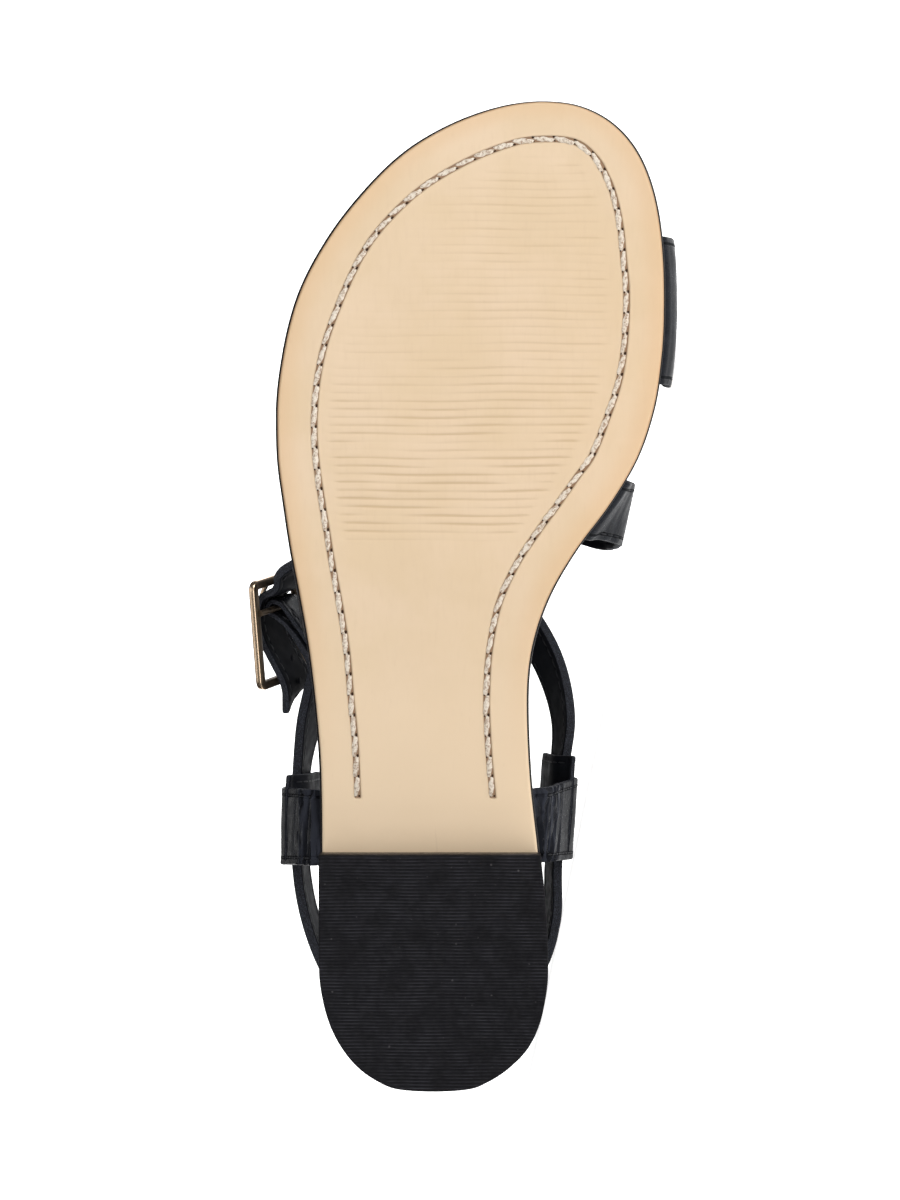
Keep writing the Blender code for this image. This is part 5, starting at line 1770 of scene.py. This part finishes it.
class AddOutsole(bpy.types.Operator):
    """Makes the tan leather outsole with its grip ribs"""

    bl_idname = "sandal.outsole"
    bl_label = "Tan outsole"
    bl_options = {"REGISTER", "UNDO"}

    def execute(self, context):
        make_outsole()
        return {"FINISHED"}


class AddChannelStitching(bpy.types.Operator):
    """Sews the cream thread into the outsole's channel"""

    bl_idname = "sandal.channel_stitching"
    bl_label = "Channel stitching"
    bl_options = {"REGISTER", "UNDO"}

    def execute(self, context):
        make_channel_stitching()
        return {"FINISHED"}


class AddMidsoleAndInsole(bpy.types.Operator):
    """Makes the black-edged midsole and the insole"""

    bl_idname = "sandal.midsole_and_insole"
    bl_label = "Midsole and insole"
    bl_options = {"REGISTER", "UNDO"}

    def execute(self, context):
        make_midsole_and_insole()
        return {"FINISHED"}


class AddHeel(bpy.types.Operator):
    """Makes the painted heel block and the ribbed top lift"""

    bl_idname = "sandal.heel"
    bl_label = "Heel"
    bl_options = {"REGISTER", "UNDO"}

    def execute(self, context):
        make_heel()
        return {"FINISHED"}


class AddVampStraps(bpy.types.Operator):
    """Makes the toe ring strap and the crossing vamp straps"""

    bl_idname = "sandal.vamp_straps"
    bl_label = "Toe ring and vamp straps"
    bl_options = {"REGISTER", "UNDO"}

    def execute(self, context):
        make_vamp_straps()
        return {"FINISHED"}


class AddSideLoops(bpy.types.Operator):
    """Makes the gathered loops that carry the ankle strap"""

    bl_idname = "sandal.side_loops"
    bl_label = "Side loops"
    bl_options = {"REGISTER", "UNDO"}

    def execute(self, context):
        make_side_loops()
        return {"FINISHED"}


class AddAnkleStrap(bpy.types.Operator):
    """Makes the two-ply ankle strap with its holes and stitching"""

    bl_idname = "sandal.ankle_strap"
    bl_label = "Ankle strap"
    bl_options = {"REGISTER", "UNDO"}

    def execute(self, context):
        make_ankle_strap()
        return {"FINISHED"}


class AddBuckle(bpy.types.Operator):
    """Makes the rose gold frame, hinge bar and prong"""

    bl_idname = "sandal.buckle"
    bl_label = "Buckle"
    bl_options = {"REGISTER", "UNDO"}

    def execute(self, context):
        make_buckle()
        return {"FINISHED"}


class AddStage(bpy.types.Operator):
    """Sets the floor, the backdrop, the lights and the camera"""

    bl_idname = "sandal.stage"
    bl_label = "Stage"
    bl_options = {"REGISTER", "UNDO"}

    def execute(self, context):
        make_stage()
        return {"FINISHED"}


OPERATORS = (
    AddOutsole,
    AddChannelStitching,
    AddMidsoleAndInsole,
    AddHeel,
    AddVampStraps,
    AddSideLoops,
    AddAnkleStrap,
    AddBuckle,
    AddStage,
)


class SandalPanel(bpy.types.Panel):
    """Lists the sandal's pieces with their sizes and colours"""

    bl_idname = "VIEW3D_PT_sandal"
    bl_label = "Toe Ring Sandal"
    bl_space_type = "VIEW_3D"
    bl_region_type = "UI"
    bl_category = "Sandal"

    def draw(self, context):
        for operator in OPERATORS:
            self.layout.operator(operator.bl_idname)
        for group in (context.scene.sandal_sizes, context.scene.sandal_colours):
            box = self.layout.box()
            for setting in group.bl_rna.properties:
                if setting.identifier not in {"rna_type", "name"}:
                    box.prop(group, setting.identifier)


CLASSES = (SandalSizes, SandalColours, *OPERATORS, SandalPanel)


def register():
    for one in CLASSES:
        bpy.utils.register_class(one)
    bpy.types.Scene.sandal_sizes = bpy.props.PointerProperty(type=SandalSizes)
    bpy.types.Scene.sandal_colours = bpy.props.PointerProperty(type=SandalColours)


def unregister():
    del bpy.types.Scene.sandal_colours
    del bpy.types.Scene.sandal_sizes
    for one in reversed(CLASSES):
        bpy.utils.unregister_class(one)


def main():
    """Makes every piece in order."""
    register()
    for operator in OPERATORS:
        group, name = operator.bl_idname.split(".")
        if getattr(getattr(bpy.ops, group), name)() != {"FINISHED"}:
            raise RuntimeError(operator.bl_label + " was not made")


if __name__ == "__main__":
    main()
